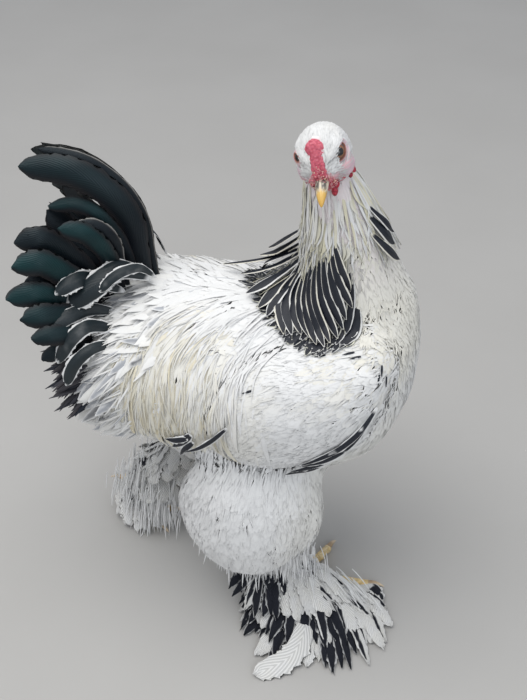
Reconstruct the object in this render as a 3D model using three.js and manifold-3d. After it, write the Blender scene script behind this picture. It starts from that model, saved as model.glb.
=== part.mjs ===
// A light Brahma cockerel in mid-step, life size.
// Millimetres, +Z up, +X the way the body heads, +Y its left, the floor at Z = 0.
// Every form is laid out from the named sizes below, and the bird is set over the centre of its floor box.
import * as THREE from 'three';
import Module from 'manifold-3d';

const wasm = await Module();
wasm.setup();
const { Manifold, Mesh: SolidMesh } = wasm;

// Driving dimensions of the body
const gap = 0.3; // clearance between pieces that touch
const torsoFront = 152; // chest
const torsoRear = -212; // cushion of fluff under the tail
const torsoStations = [
  // x, centre height, half width, rise to the back, drop to the belly
  [torsoFront, 334, 0, 0, 0],
  [141, 336, 60, 62, 64],
  [112, 326, 94, 85, 104],
  [60, 312, 109, 92, 118],
  [0, 302, 112, 97, 118],
  [-60, 302, 110, 97, 108],
  [-120, 306, 102, 93, 98],
  [-165, 302, 88, 82, 84],
  [-196, 292, 60, 54, 56],
  [torsoRear, 284, 0, 0, 0],
];

// Wing: rise and fall are the angles round the torso where its middle starts and ends
const wing = { shoulderX: 134, length: 186, rise: 27, fall: 2, spread: 43, thick: 17 };

// Neck, from inside the shoulders to the back of the skull
const neckAxis = [
  [86, 0, 345],
  [84, -2, 400],
  [77, -8, 455],
  [64, -14, 510],
  [52, -18, 552],
  [49, -24, 574],
];
const neckSide = [44, 58, 43, 30, 23, 15]; // half width at each axis point
const neckDeep = [48, 56, 43, 32, 22, 15]; // half depth, throat to nape

// Tips of the longest hackles, right round the neck from its front on the bird's right
const capeTips = [
  [112, -50, 432],
  [84, -78, 384],
  [50, -86, 372],
  [10, -64, 387],
  [-27, 12, 404],
  [8, 72, 390],
  [54, 90, 374],
  [92, 80, 384],
  [120, 46, 420],
  [126, -2, 440],
];
// Tiers of hackles: root along the neck, share of the way to the cape's tips, how many, width, rise to tip
const hackleTiers = [
  { root: 0.8, reach: 0.38, count: 9, width: 21, lift: 9 },
  { root: 0.69, reach: 0.56, count: 10, width: 24, lift: 10 },
  { root: 0.56, reach: 0.78, count: 12, width: 26, lift: 10 },
  { root: 0.42, reach: 1, count: 13, width: 29, lift: 4 },
];

// Tiers of saddle hackles on one side: first and last root and tip as x and angle round the torso, rise to
// the tip, and share of the length by which each has risen out of the body
const saddleTiers = [
  {
    roots: [[-38, 78], [-140, 68]],
    tips: [[-62, 8], [-188, -6]],
    count: 6,
    width: 26,
    lift: 8,
    risen: 0.3,
  },
  {
    roots: [[-48, 60], [-152, 54]],
    tips: [[-76, -16], [-182, -34]],
    count: 6,
    width: 26,
    lift: 4,
    risen: 0.2,
  },
];

// Head: yaw turns it from the heading to the bird's right, pitch drops the bill
const head = { centre: [49, -32, 567], yaw: -87, pitch: -21.5, roll: 16.5 };
const skullStations = [
  // forward, centre height, half width, rise, drop
  [-35, 0, 0, 0, 0],
  [-27, 0, 17, 20, 17],
  [-10, 1, 26.5, 29, 26],
  [6, 1, 26, 26.5, 25],
  [19, -2, 19, 18, 19],
  [28, -5, 10, 8, 11],
  [32, -6, 0, 0, 0],
];
const eye = { radius: 5.6, forward: 4.5, side: 19.6, up: 7.5 };
const lid = { thick: 1.1, slit: 18 };
const brow = { forward: 5, side: 17, up: 14.5, sizes: [12, 5, 3.4], slope: 20 };
const bill = { base: 25, length: 24, halfWidth: 6.4, height: 8, drop: -3.5, hook: 4.5 };
const nostril = { forward: 28.5, side: 4.4, up: -0.6, sizes: [3, 1.6, 1] };
// Pea comb: three rows of bumps from the bill back over the brow
const combRows = [
  { side: 0, count: 4, start: 24, step: 7.4, size: 3.8, rise: 3 },
  { side: -4.6, count: 3, start: 14, step: 6.4, size: 3.4, rise: 1.6 },
  { side: 4.6, count: 3, start: 14, step: 6.4, size: 3.4, rise: 1.6 },
];
const wattle = { forward: 22, side: 8, up: -21, sizes: [5.5, 3, 6.5] };
const earlobe = { forward: 0, side: 23.4, up: -16, sizes: [5, 3.2, 7] };

// Tail: main feathers fanned on each side, sickles that arch over, and rows of coverts
const tailStump = { centre: [-152, 0, 366], sizes: [40, 36, 38] };
const tailFan = {
  roots: [[-158, 8, 392], [-166, 24, 372], [-168, 30, 346]],
  tips: [
    [-248, 20, 476],
    [-258, 46, 460],
    [-260, 72, 424],
    [-252, 90, 384],
    [-236, 96, 350],
    [-216, 92, 322],
  ],
  count: 7,
  width: 36,
};
const sickles = [
  { path: [[-132, 8, 372], [-142, 11, 425], [-165, 14, 476], [-205, 17, 508], [-259, 18, 514]], width: 46 },
  { path: [[-130, 3, 380], [-137, 3, 432], [-156, 4, 490], [-190, 6, 526], [-236, 8, 533]], width: 18 },
  { path: [[-146, 13, 378], [-158, 19, 424], [-182, 24, 458], [-222, 29, 484]], width: 32 },
];
const tailCoverts = [
  {
    roots: [[-140, 10, 396], [-164, 34, 348]],
    tips: [[-188, 44, 450], [-224, 92, 392], [-204, 98, 326]],
    count: 5,
    width: 32,
  },
  {
    roots: [[-132, 14, 396], [-156, 36, 352]],
    tips: [[-168, 56, 428], [-194, 90, 398], [-188, 100, 336]],
    count: 4,
    width: 27,
  },
];

// Flight feathers and coverts of one wing, as x and angle round the torso
const wingTiers = [
  { roots: [[-14, 16], [0, -14]], tips: [[-148, 4], [-122, -20]], count: 5, width: 23, lift: 2.6 },
  { roots: [[-10, 34], [24, -12]], tips: [[-116, 26], [-58, -24]], count: 6, width: 27, lift: 6 },
];

// Legs: the right one stands, the left one trails on its toes
const toeSize = { root: 7.6, tip: 4.6, flat: 0.92 };
const footVane = { width: 30, arch: 4 };
const shankVane = { width: 30, arch: 10 };
const claw = { length: 17, radius: 3.6, drop: 4.5, lift: 1.6 };
const legs = {
  right: {
    hock: [-6, -58, 98],
    ball: [42, -38, 14],
    fluff: { middle: [-14, -70, 150], lean: 10, sizes: [79, 92, 55] },
    toes: {
      middle: [[74, -37, 6], [120, -35, 3.6]],
      inner: [[56, -10, 6], [66, 12, 3.6]],
      outer: [[62, -62, 6], [80, -80, 3.6]],
      back: [[22, -34, 7], [8, -30, 3.6]],
    },
    footTips: [
      [-33, -112, 7],
      [-4, -148, 5],
      [42, -176, 4],
      [92, -168, 4],
      [137, -142, 5],
      [155, -96, 7],
      [146, -62, 8],
    ],
    footRoots: [[26, -42, 13], [44, -48, 13], [64, -64, 7], [84, -42, 7], [112, -39, 6]],
    footCount: 10,
    shankTips: [
      [-52, -78, 30],
      [-34, -112, 26],
      [4, -140, 22],
      [52, -146, 20],
      [96, -126, 20],
      [116, -88, 22],
    ],
    shankRoots: [[8, -54, 76], [22, -52, 56], [34, -48, 40]],
    shankCount: 7,
  },
  left: {
    hock: [-118, 50, 138],
    ball: [-178, 44, 60],
    fluff: { middle: [-84, 56, 176], lean: 35, sizes: [58, 88, 45] },
    toes: {
      middle: [[-170, 44, 26], [-158, 44, 6], [-136, 44, 3.6]],
      inner: [[-172, 32, 26], [-160, 24, 7], [-146, 14, 3.6]],
      outer: [[-170, 58, 26], [-160, 70, 7], [-148, 82, 3.6]],
      back: [[-190, 46, 54], [-202, 48, 44]],
    },
    footTips: [
      [-158, -2, 10],
      [-186, 4, 8],
      [-210, 26, 8],
      [-216, 60, 8],
      [-204, 96, 8],
      [-172, 118, 9],
      [-140, 112, 12],
    ],
    footRoots: [[-174, 36, 44], [-182, 42, 46], [-178, 54, 44], [-170, 58, 34]],
    footCount: 8,
    shankTips: [
      [-146, 2, 74],
      [-190, 6, 56],
      [-222, 36, 48],
      [-222, 76, 48],
      [-186, 108, 60],
      [-146, 104, 82],
    ],
    shankRoots: [[-134, 46, 118], [-156, 46, 92], [-138, 54, 112]],
    shankCount: 6,
  },
};

// Feather shapes: rings as [share of the length, share of the width]
const hackleShape = [[0, 0.4], [0.3, 0.95], [0.78, 0.8]];
const broadShape = [[0, 0.34], [0.35, 0.85], [0.7, 1], [0.92, 0.66]];
const saddleShape = [[0, 0.4], [0.2, 0.8], [0.45, 1], [0.7, 0.95], [0.88, 0.6]];
const sickleShape = [[0, 0.4], [0.2, 0.76], [0.42, 1], [0.62, 0.96], [0.8, 0.74], [0.94, 0.44]];
const vaneThick = 1.7;
const rootDepth = 4; // how far a root is sunk
const risen = 0.3; // share of a hackle's length by which it has risen out of the neck
const rootRise = 1.6; // height of a feather over what it lies on, just past its root
const coverRise = 9; // height at which the saddle hackles pass over the folded wing
const shingle = 10; // tilt of each feather, in degrees, that slides its edge under the next

const V = (x, y, z) => new THREE.Vector3(x, y, z);
const point = (list) => V(...list);
const deg = THREE.MathUtils.degToRad;
const { lerp, clamp, smoothstep } = THREE.MathUtils;

// Reads a column of a table of stations at s, with a smooth curve through the knots
function readTable(knots, values, s) {
  const last = knots.length - 1;
  let i = 0;
  while (i < last - 1 && s > knots[i + 1]) i += 1;
  const slope = (k) => {
    const a = Math.max(0, k - 1);
    const b = Math.min(last, k + 1);
    return (values[b] - values[a]) / (knots[b] - knots[a]);
  };
  const span = knots[i + 1] - knots[i];
  const t = clamp((s - knots[i]) / span, 0, 1);
  const t2 = t * t;
  const t3 = t2 * t;
  return (
    (2 * t3 - 3 * t2 + 1) * values[i] +
    (t3 - 2 * t2 + t) * span * slope(i) +
    (3 * t2 - 2 * t3) * values[i + 1] +
    (t3 - t2) * span * slope(i + 1)
  );
}

// A long rounded form given by stations: the knots are angles round a half circle, so both ends are round
class StationForm {
  constructor(stations) {
    const start = stations[0][0];
    const end = stations[stations.length - 1][0];
    this.middle = (start + end) / 2;
    this.half = (start - end) / 2;
    this.knots = stations.map((row) => Math.acos((row[0] - this.middle) / this.half));
    this.columns = [1, 2, 3, 4].map((column) => stations.map((row) => row[column]));
  }

  along(angle) {
    return this.middle + this.half * Math.cos(angle);
  }

  section(angle) {
    const [height, wide, rise, drop] = this.columns.map((column) => readTable(this.knots, column, angle));
    return { height, wide: Math.max(0, wide), rise: Math.max(0, rise), drop: Math.max(0, drop) };
  }

  sectionAt(position) {
    return this.section(Math.acos(clamp((position - this.middle) / this.half, -0.998, 0.998)));
  }

  // Closed surface; grow swells it evenly and place turns (along, side, up) into a point
  body(rings, sides, grow, place) {
    const ringList = [];
    for (let i = 1; i < rings; i += 1) {
      const angle = (Math.PI * i) / rings;
      const s = this.section(angle);
      const stretch = this.along(angle) + (grow * (this.along(angle) - this.middle)) / Math.abs(this.half);
      const ring = [];
      for (let j = 0; j < sides; j += 1) {
        const turn = (2 * Math.PI * j) / sides;
        const lift = Math.sin(turn);
        const reach = lift > 0 ? s.rise + grow : s.drop + grow;
        ring.push(place(stretch, Math.cos(turn) * (s.wide + grow), s.height + lift * reach));
      }
      ringList.push(ring);
    }
    const sign = Math.sign(this.half);
    const start = place(this.along(0) + grow * sign, 0, this.section(0).height);
    const end = place(this.along(Math.PI) - grow * sign, 0, this.section(Math.PI).height);
    return skin(ringList, start, end);
  }
}

// Closed solid from rings of points, each end drawn to a single point; alike splits every second strip the
// other way
function skin(rings, start, end, alike = false) {
  const sides = rings[0].length;
  const points = [start, ...rings.flat(), end];
  const triangles = [];
  const at = (ring, side) => 1 + ring * sides + (side % sides);
  for (let j = 0; j < sides; j += 1) {
    triangles.push([0, at(0, j + 1), at(0, j)]);
    for (let i = 0; i < rings.length - 1; i += 1) {
      const [a, b, c, d] = [at(i, j), at(i, j + 1), at(i + 1, j + 1), at(i + 1, j)];
      if (alike && j % 2 === 0) triangles.push([a, b, c], [a, c, d]);
      else triangles.push([a, b, d], [b, c, d]);
    }
    triangles.push([at(rings.length - 1, j), at(rings.length - 1, j + 1), points.length - 1]);
  }
  return solid(points, triangles);
}

// Closed solid from points and triangles, turned right side out
function solid(points, triangles) {
  let volume = 0;
  for (const [a, b, c] of triangles) {
    volume += points[a].dot(V(0, 0, 0).crossVectors(points[b], points[c]));
  }
  const order = volume > 0 ? triangles : triangles.map(([a, b, c]) => [a, c, b]);
  return new Manifold(
    new SolidMesh({
      numProp: 3,
      vertProperties: Float32Array.from(points.flatMap((p) => [p.x, p.y, p.z])),
      triVerts: Uint32Array.from(order.flat()),
    }),
  );
}

// Round tube along a smooth curve; radius(s) gives [side, deep] and face is the direction of its deep side
function tube(points, radius, steps, sides, face, grow = 0) {
  const curve = new THREE.CatmullRomCurve3(points, false, 'centripetal');
  const rings = [];
  for (let i = 0; i <= steps; i += 1) {
    const s = i / steps;
    const centre = curve.getPoint(s);
    const tangent = curve.getTangent(s);
    const side = V(0, 0, 0).crossVectors(tangent, face).normalize();
    const deep = V(0, 0, 0).crossVectors(side, tangent).normalize();
    const [wide, thick] = radius(s);
    const ring = [];
    for (let j = 0; j < sides; j += 1) {
      const turn = (2 * Math.PI * j) / sides;
      ring.push(
        centre
          .clone()
          .addScaledVector(side, Math.cos(turn) * (wide + grow))
          .addScaledVector(deep, Math.sin(turn) * (thick + grow)),
      );
    }
    rings.push(ring);
  }
  const lead = (s, sign) => curve.getPoint(s).addScaledVector(curve.getTangent(s), sign * (0.5 + grow));
  return skin(rings, lead(0, -1), lead(1, 1));
}

// Ellipsoid with half sizes along three unit directions
function blob(centre, axes, sizes, wide = 10, high = 7) {
  const put = (polar, turn) =>
    centre
      .clone()
      .addScaledVector(axes[0], Math.cos(turn) * Math.sin(polar) * sizes[0])
      .addScaledVector(axes[1], Math.cos(polar) * sizes[1])
      .addScaledVector(axes[2], Math.sin(turn) * Math.sin(polar) * sizes[2]);
  const rings = [];
  for (let i = 1; i < high; i += 1) {
    rings.push(Array.from({ length: wide }, (_, j) => put((Math.PI * i) / high, (2 * Math.PI * j) / wide)));
  }
  return skin(rings, put(0, 0), put(Math.PI, 0));
}
const worldAxes = [V(1, 0, 0), V(0, 0, 1), V(0, 1, 0)];

const join = (list) => Manifold.union(list);

// The largest closed surface of a solid, which fills sealed hollows and drops scraps
function largest(body) {
  const pieces = body.decompose();
  return pieces.reduce((best, piece) => (piece.volume() > best.volume() ? piece : best));
}

// A feather: a thin vane of four-cornered section with a raised shaft, its two faces split alike.
// route(s) gives the middle line and the way the face looks, from the sunk root at 0 to the tip at 1,
// and roll turns one edge under the next feather and the other over the last
function feather(route, shape, width, { cup = 0.1, roll = 0 } = {}) {
  const step = 0.02;
  const rings = shape.map(([s, share]) => {
    const { at, out } = route(s);
    const ahead = route(Math.min(1, s + step)).at.sub(route(Math.max(0, s - step)).at).normalize();
    const side = V(0, 0, 0).crossVectors(ahead, out).normalize().applyAxisAngle(ahead, deg(roll));
    const top = V(0, 0, 0).crossVectors(side, ahead).normalize();
    const half = (width / 2) * share;
    const edge = (sign) => at.clone().addScaledVector(side, sign * half).addScaledVector(top, -half * cup);
    const shaft = (sign) => at.clone().addScaledVector(top, (sign * vaneThick) / 2);
    return [edge(-1), shaft(1), edge(1), shaft(-1)];
  });
  const root = route(0).at.add(route(0).at.sub(route(step).at).normalize());
  return skin(rings, root, route(1).at, true);
}

// Route along a smooth curve with the face turning from one direction to another
function freeRoute(points, from, to = from) {
  const curve = new THREE.CatmullRomCurve3(points, false, 'centripetal');
  return (s) => ({ at: curve.getPoint(s), out: from.clone().lerp(to, s).normalize() });
}

const mirrored = (list, side) => V(list[0], list[1] * side, list[2]);
const curveOf = (list) => new THREE.CatmullRomCurve3(list, false, 'centripetal');

// Torso
const torsoForm = new StationForm(torsoStations);
const torsoSolid = (grow) => torsoForm.body(16, 20, grow, (along, side, height) => V(along, side, height));

function torsoLevel(p) {
  const s = torsoForm.sectionAt(p.x);
  const lift = p.z - s.height;
  return Math.hypot(p.y / s.wide, lift / (lift > 0 ? s.rise : s.drop)) - 1;
}

function slopeOf(level, p) {
  const step = 0.5;
  const rise = V(
    level(V(p.x + step, p.y, p.z)) - level(V(p.x - step, p.y, p.z)),
    level(V(p.x, p.y + step, p.z)) - level(V(p.x, p.y - step, p.z)),
    level(V(p.x, p.y, p.z + step)) - level(V(p.x, p.y, p.z - step)),
  );
  return rise.divideScalar(2 * step);
}

// Distance to a form given by its level, outside positive
const distanceTo = (level, p) => level(p) / slopeOf(level, p).length();

// Point on one side of the torso at x and an angle round it, with the way out
function onTorso(x, turn, side) {
  const s = torsoForm.sectionAt(x);
  const lift = Math.sin(deg(turn));
  const foot = V(x, Math.cos(deg(turn)) * s.wide, s.height + lift * (lift > 0 ? s.rise : s.drop));
  const out = slopeOf(torsoLevel, foot).normalize();
  return { at: foot.multiply(V(1, side, 1)), out: out.multiply(V(1, side, 1)) };
}

// Wing outline at a share of its length: middle angle round the torso and half its spread, in degrees
function wingBand(share) {
  const round = Math.min(1, 2.5 * share ** 0.5) * (1 - share ** 5) ** 0.5;
  return { middle: lerp(wing.rise, -wing.fall, share), half: wing.spread * round };
}

// Wing thickness over the torso; across runs from -1 at the lower edge to 1 at the upper
const wingThickness = (share, across) =>
  wing.thick * (Math.max(0, 1 - across ** 2) * Math.max(0, 1 - share ** 3) * (1 - (1 - share) ** 9)) ** 0.6;

// Wing: a thin shell that lies on the torso's side, cut clear of it
function wingShell(side, grow) {
  const lengthSteps = 10;
  const crossSteps = 6;
  const rings = [];
  for (let i = 0; i <= lengthSteps; i += 1) {
    const turn = (Math.PI * i) / lengthSteps;
    const share = lerp(0.004, 0.985, 0.5 - 0.5 * Math.cos(turn));
    const x = wing.shoulderX - wing.length * share + grow * Math.cos(turn);
    const band = wingBand(share);
    const outer = [];
    const inner = [];
    for (let j = 0; j <= crossSteps; j += 1) {
      const across = -Math.cos((Math.PI * j) / crossSteps);
      const { at, out } = onTorso(x, band.middle + across * (band.half + grow), side);
      outer.push(at.clone().addScaledVector(out, wingThickness(share, across) + 1.2 + grow));
      inner.push(at.clone().addScaledVector(out, -6));
    }
    rings.push([...outer, ...inner.reverse()]);
  }
  const centreOf = (ring) => ring.reduce((sum, p) => sum.add(p), V(0, 0, 0)).divideScalar(ring.length);
  return skin(rings, centreOf(rings[0]), centreOf(rings[lengthSteps]));
}

// Height of the wing's shell over the torso at x and an angle round it
function wingHeight(x, turn) {
  const share = (wing.shoulderX - x) / wing.length;
  if (share <= 0 || share >= 1) return 0;
  const band = wingBand(share);
  return wingThickness(share, Math.min(1, Math.abs(turn - band.middle) / band.half));
}

// Height at which the saddle hackles pass over the folded wing and its feathers
function coverHeight(x, turn) {
  const low = wingTiers[0].tips[1];
  const high = wingTiers[1].roots[0];
  const middle = (low[1] + high[1]) / 2;
  const across = Math.abs(turn - middle) / ((high[1] - low[1]) / 2);
  return coverRise * (1 - smoothstep(across, 1.35, 2.1)) * smoothstep(x, low[0] - 50, low[0] - 16);
}

// Route over the torso's side between two places given as x and angle, at a height over what lies there
function sideRoute(from, to, side, height) {
  return (s) => {
    const x = lerp(from[0], to[0], s ** 1.25);
    const turn = lerp(from[1], to[1], s);
    const { at, out } = onTorso(x, turn, side);
    return { at: at.addScaledVector(out, height(x, turn, s)), out };
  };
}

const spread = (count, make) => Array.from({ length: count }, (_, k) => make(k / (count - 1), k));
const between = (pair, share) => pair[0].map((value, i) => lerp(value, pair[1][i], share));

function saddleFeathers(side) {
  return saddleTiers.flatMap((tier) =>
    spread(tier.count, (share) => {
      const height = (x, turn, s) =>
        lerp(-rootDepth, rootRise + tier.lift * s + coverHeight(x, turn), smoothstep(s, 0, tier.risen));
      const route = sideRoute(between(tier.roots, share), between(tier.tips, share), side, height);
      return feather(route, saddleShape, tier.width, { cup: 0.08, roll: -side * shingle });
    }),
  );
}

// Flight feathers and their coverts come out of the shell's hind edge and lie back along the torso
function wingFeathers(side) {
  return wingTiers.flatMap((tier) =>
    spread(tier.count, (share) => {
      const height = (x, turn, s) => lerp(tier.lift - 1, tier.lift, s);
      const route = sideRoute(between(tier.roots, share), between(tier.tips, share), side, height);
      return feather(route, broadShape, tier.width, { roll: -side * shingle });
    }),
  );
}

// Neck
const neckPoints = neckAxis.map(point);
const neckCurve = curveOf(neckPoints);
const neckKnots = neckAxis.map((_, i) => i / (neckAxis.length - 1));
const neckSizes = (s) => [readTable(neckKnots, neckSide, s), readTable(neckKnots, neckDeep, s)];
const neckCore = (grow) => tube(neckPoints, neckSizes, 10, 16, V(1, 0, 0), grow);

function neckLevel(p) {
  const heights = neckAxis.map((row) => row[2]);
  const s = readTable(heights, neckKnots, clamp(p.z, heights[0], heights[heights.length - 1]));
  const centre = neckCurve.getPoint(clamp(s, 0, 1));
  const [wide, deep] = neckSizes(s);
  return Math.hypot((p.y - centre.y) / wide, (p.x - centre.x) / deep) - 1;
}

// Distance over the body that a hackle lies on, and the way out of it
function underHackle(p) {
  const turn = THREE.MathUtils.radToDeg(Math.atan2(p.z - torsoForm.sectionAt(p.x).height, Math.abs(p.y)));
  const overTorso = distanceTo(torsoLevel, p) - wingHeight(p.x, turn);
  const overNeck = distanceTo(neckLevel, p);
  const level = overNeck < overTorso ? neckLevel : torsoLevel;
  return { height: Math.min(overNeck, overTorso), out: slopeOf(level, p).normalize() };
}

// Hackles hang from rings round the neck towards the tips of the cape and lie on what is under them
function hackleFeathers() {
  const edge = new THREE.CatmullRomCurve3(capeTips.map(point), true, 'centripetal');
  return hackleTiers.flatMap((tier, level) =>
    spread(tier.count + 1, (_, k) => k).slice(0, tier.count).map((k) => {
      const tip = edge.getPoint(((k + (level % 2) / 2) / tier.count) % 1);
      const centre = neckCurve.getPoint(tier.root);
      const [wide, deep] = neckSizes(tier.root);
      const turn = Math.atan2((tip.y - centre.y) / wide, (tip.x - centre.x) / deep);
      const root = centre.clone().add(V(Math.cos(turn) * deep, Math.sin(turn) * wide, 0));
      const end = root.clone().lerp(tip, tier.reach);
      const route = (s) => {
        const at = root.clone().lerp(end, s);
        for (let pass = 0; pass < 4; pass += 1) {
          const { height, out } = underHackle(at);
          const wanted = lerp(-rootDepth, rootRise + tier.lift * s, smoothstep(s, 0, risen));
          at.addScaledVector(out, (wanted - height) * (height > wanted ? 0.7 : 1));
        }
        return { at, out: underHackle(at).out };
      };
      return feather(route, hackleShape, tier.width, { cup: 0.12, roll: shingle });
    }),
  );
}

// Head frame: forward along the bill, left and up
const forward = V(
  Math.cos(deg(head.yaw)) * Math.cos(deg(head.pitch)),
  Math.sin(deg(head.yaw)) * Math.cos(deg(head.pitch)),
  Math.sin(deg(head.pitch)),
);
const left = V(0, 0, 0).crossVectors(V(0, 0, 1), forward).normalize().applyAxisAngle(forward, deg(head.roll));
const up = V(0, 0, 0).crossVectors(forward, left);
const headAxes = [forward, left, up];
const onHead = (f, l, u) =>
  point(head.centre).addScaledVector(forward, f).addScaledVector(left, l).addScaledVector(up, u);

const skullForm = new StationForm(skullStations);
const skullCore = (grow) => skullForm.body(10, 14, grow, onHead);
const eyeSolid = (sign, grow) => {
  const sizes = Array(3).fill(eye.radius + grow);
  return blob(onHead(eye.forward, sign * eye.side, eye.up), headAxes, sizes, 10, 6);
};

// Upper and lower lids: two caps of a shell round the eye, parted by the slit
function lids(sign) {
  const centre = onHead(eye.forward, sign * eye.side, eye.up);
  const shell = blob(centre, headAxes, Array(3).fill(eye.radius + lid.thick), 8, 5);
  return [1, -1].map((half) => {
    const normal = up
      .clone()
      .multiplyScalar(half * Math.cos(deg(lid.slit)))
      .addScaledVector(left, -sign * Math.sin(deg(lid.slit)));
    return shell.trimByPlane(normal.toArray(), normal.dot(centre) + 0.4);
  });
}

// Heavy brow that slopes forward over the eye
function browSolid(sign) {
  const tilted = headAxes.map((axis) => axis.clone().applyAxisAngle(left, deg(brow.slope)));
  const centre = onHead(brow.forward, sign * brow.side, brow.up);
  return blob(centre, [tilted[0], left, tilted[2]], brow.sizes, 8, 5);
}

// Line of the mouth, a groove back from the bill into the cheek
const mouthLine = (sign) =>
  blob(onHead(bill.base - 2, sign * 11, bill.drop - 3), [forward, left, up], [9, 4, 0.8], 6, 4);

// Bill, one half above the gape and one below
function billSolid(top, grow) {
  const reach = top ? bill.length : bill.length - 6;
  const tipDrop = top ? bill.drop - bill.hook : bill.drop - 5;
  const lift = top ? 1.4 : -3.4;
  const points = [
    onHead(bill.base - 8, 0, bill.drop + lift),
    onHead(bill.base + reach * 0.45, 0, bill.drop + lift + (top ? 0.6 : 0.2)),
    onHead(bill.base + reach * 0.85, 0, (bill.drop + lift + tipDrop) / 2 + 1),
    onHead(bill.base + reach, 0, tipDrop),
  ];
  const depth = top ? bill.height * 0.5 : bill.height * 0.32;
  const radius = (s) => [bill.halfWidth * (1 - s) ** 0.6 + 0.6, depth * (1 - s) ** 0.55 + 0.5];
  return tube(points, radius, 6, 8, up, grow);
}
const nostrilCut = (sign) =>
  blob(onHead(nostril.forward, sign * nostril.side, nostril.up), headAxes, nostril.sizes, 6, 4);

// Pea comb, wattles in two folds and ear lobes
function skullTop(f, l) {
  const s = skullForm.sectionAt(f);
  return s.height + s.rise * Math.sqrt(Math.max(0, 1 - (l / s.wide) ** 2));
}
const combBase = () => {
  const line = spread(5, (share) => lerp(combRows[0].start + 1, combRows[0].start - 28, share));
  const radius = (s) => [lerp(3.6, 7.6, s), 3];
  return tube(line.map((f) => onHead(f, 0, skullTop(f, 0))), radius, 4, 6, up);
};
const combSolid = () =>
  join([
    combBase(),
    ...combRows.flatMap((row) =>
      spread(row.count, (share, k) => {
        const f = row.start - k * row.step;
        const size = row.size * lerp(0.75, 1.1, share);
        const side = row.side * lerp(0.6, 1.15, share);
        return blob(onHead(f, side, skullTop(f, side) + row.rise - 1), headAxes, [5, size, size * 0.8], 5, 4);
      }),
    ),
  ]);
const wattleSolid = (sign, grow) => {
  const { forward: f, side, up: height, sizes } = wattle;
  const swell = (list) => list.map((size) => size + grow);
  const fold = blob(onHead(f - 5, sign * (side + 2), height + 3), headAxes, swell([5, 3.4, 6]), 7, 5);
  return join([blob(onHead(f, sign * side, height), headAxes, swell(sizes), 7, 6), fold]);
};
const lobeSolid = (sign, grow) => {
  const sizes = earlobe.sizes.map((size) => size + grow);
  return blob(onHead(earlobe.forward, sign * earlobe.side, earlobe.up), headAxes, sizes, 7, 6);
};

// Tail
function tailRow(row, side, lift) {
  const tips = curveOf(row.tips.map((tip) => mirrored(tip, side)));
  const roots = curveOf(row.roots.map((root) => mirrored(root, side)));
  return spread(row.count, (share, k) => {
    const look = V(0.25, side, lerp(1.1, 0.3, share)).normalize();
    const shift = lift - k * 1.6;
    const ends = [roots.getPoint(share), tips.getPoint(share)];
    const middle = ends[0].clone().lerp(ends[1], 0.5).addScaledVector(look, 7);
    const points = [ends[0], middle, ends[1]].map((p, i) => (i > 0 ? p.addScaledVector(look, shift) : p));
    return feather(freeRoute(points, look), broadShape, row.width, { roll: -side * shingle });
  });
}

function tailSolid() {
  const stump = blob(point(tailStump.centre), worldAxes, tailStump.sizes, 14, 9);
  const feathers = [1, -1].flatMap((side) => [
    ...tailRow(tailFan, side, 0),
    ...tailCoverts.flatMap((row, i) => tailRow(row, side, 6 + 5 * i)),
    ...sickles.map((sickle) => {
      const path = sickle.path.map((p) => mirrored(p, side));
      return feather(freeRoute(path, V(0.15, side, 0.35)), sickleShape, sickle.width);
    }),
  ]);
  return join([stump, ...feathers]);
}

// Thighs: full pantaloons of fluff down to the hock
function thighSolid({ middle, lean, sizes }, grow) {
  const axis = V(Math.sin(deg(lean)), 0, Math.cos(deg(lean)));
  const side = V(0, 1, 0);
  const deep = V(0, 0, 0).crossVectors(side, axis);
  return blob(point(middle), [deep, axis, side], sizes.map((size) => size + grow), 16, 11);
}

// Shank and toes
const shankCore = (leg, grow) => {
  const waist = (s) => Array(2).fill(10 - 2 * Math.sin(Math.PI * s));
  return tube([point(leg.hock), point(leg.ball)], waist, 3, 9, V(1, 0, 0), grow);
};
function toeTube(leg, points, grow) {
  const line = [point(leg.ball), ...points.map(point)];
  const knuckle = (s) => 1 + 0.06 * Math.cos(6 * Math.PI * s);
  const radius = (s) => {
    const size = lerp(toeSize.root, toeSize.tip, s) * knuckle(s);
    return [size, size * toeSize.flat];
  };
  return tube(line, radius, 5, 7, V(0, 0, 1), grow);
}
function clawSolid(points, grow) {
  const tip = point(points[points.length - 1]);
  const way = tip.clone().sub(point(points[points.length - 2])).setZ(0).normalize();
  const line = [0, 0.55, 1].map((s) =>
    tip
      .clone()
      .addScaledVector(way, claw.length * s)
      .setZ(tip.z + 1 - claw.drop * s * s + (s > 0 ? claw.lift : 0)),
  );
  const radius = (s) => Array(2).fill(claw.radius * (1 - s) ** 0.7 + 0.4);
  return tube(line, radius, 3, 5, V(0, 0, 1), grow);
}

// Feathers of a shank or a foot: they spread from a line of roots to a curve of tips near the floor
function legFeathers(rootList, tipList, count, { width, arch }) {
  const roots = curveOf(rootList.map(point));
  const tips = curveOf(tipList.map(point));
  return spread(count, (share) => {
    const ends = [roots.getPoint(share), tips.getPoint(share)];
    const middle = ends[0].clone().lerp(ends[1], 0.5).add(V(0, 0, arch));
    const look = V(0, 0, 1).addScaledVector(ends[1].clone().sub(ends[0]).setZ(0).normalize(), 0.3);
    return feather(freeRoute([ends[0], middle, ends[1]], look), broadShape, width, { roll: shingle });
  });
}

const group = new THREE.Group();
const cutFloor = (body) => body.trimByPlane([0, 0, 1], 0);

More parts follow.
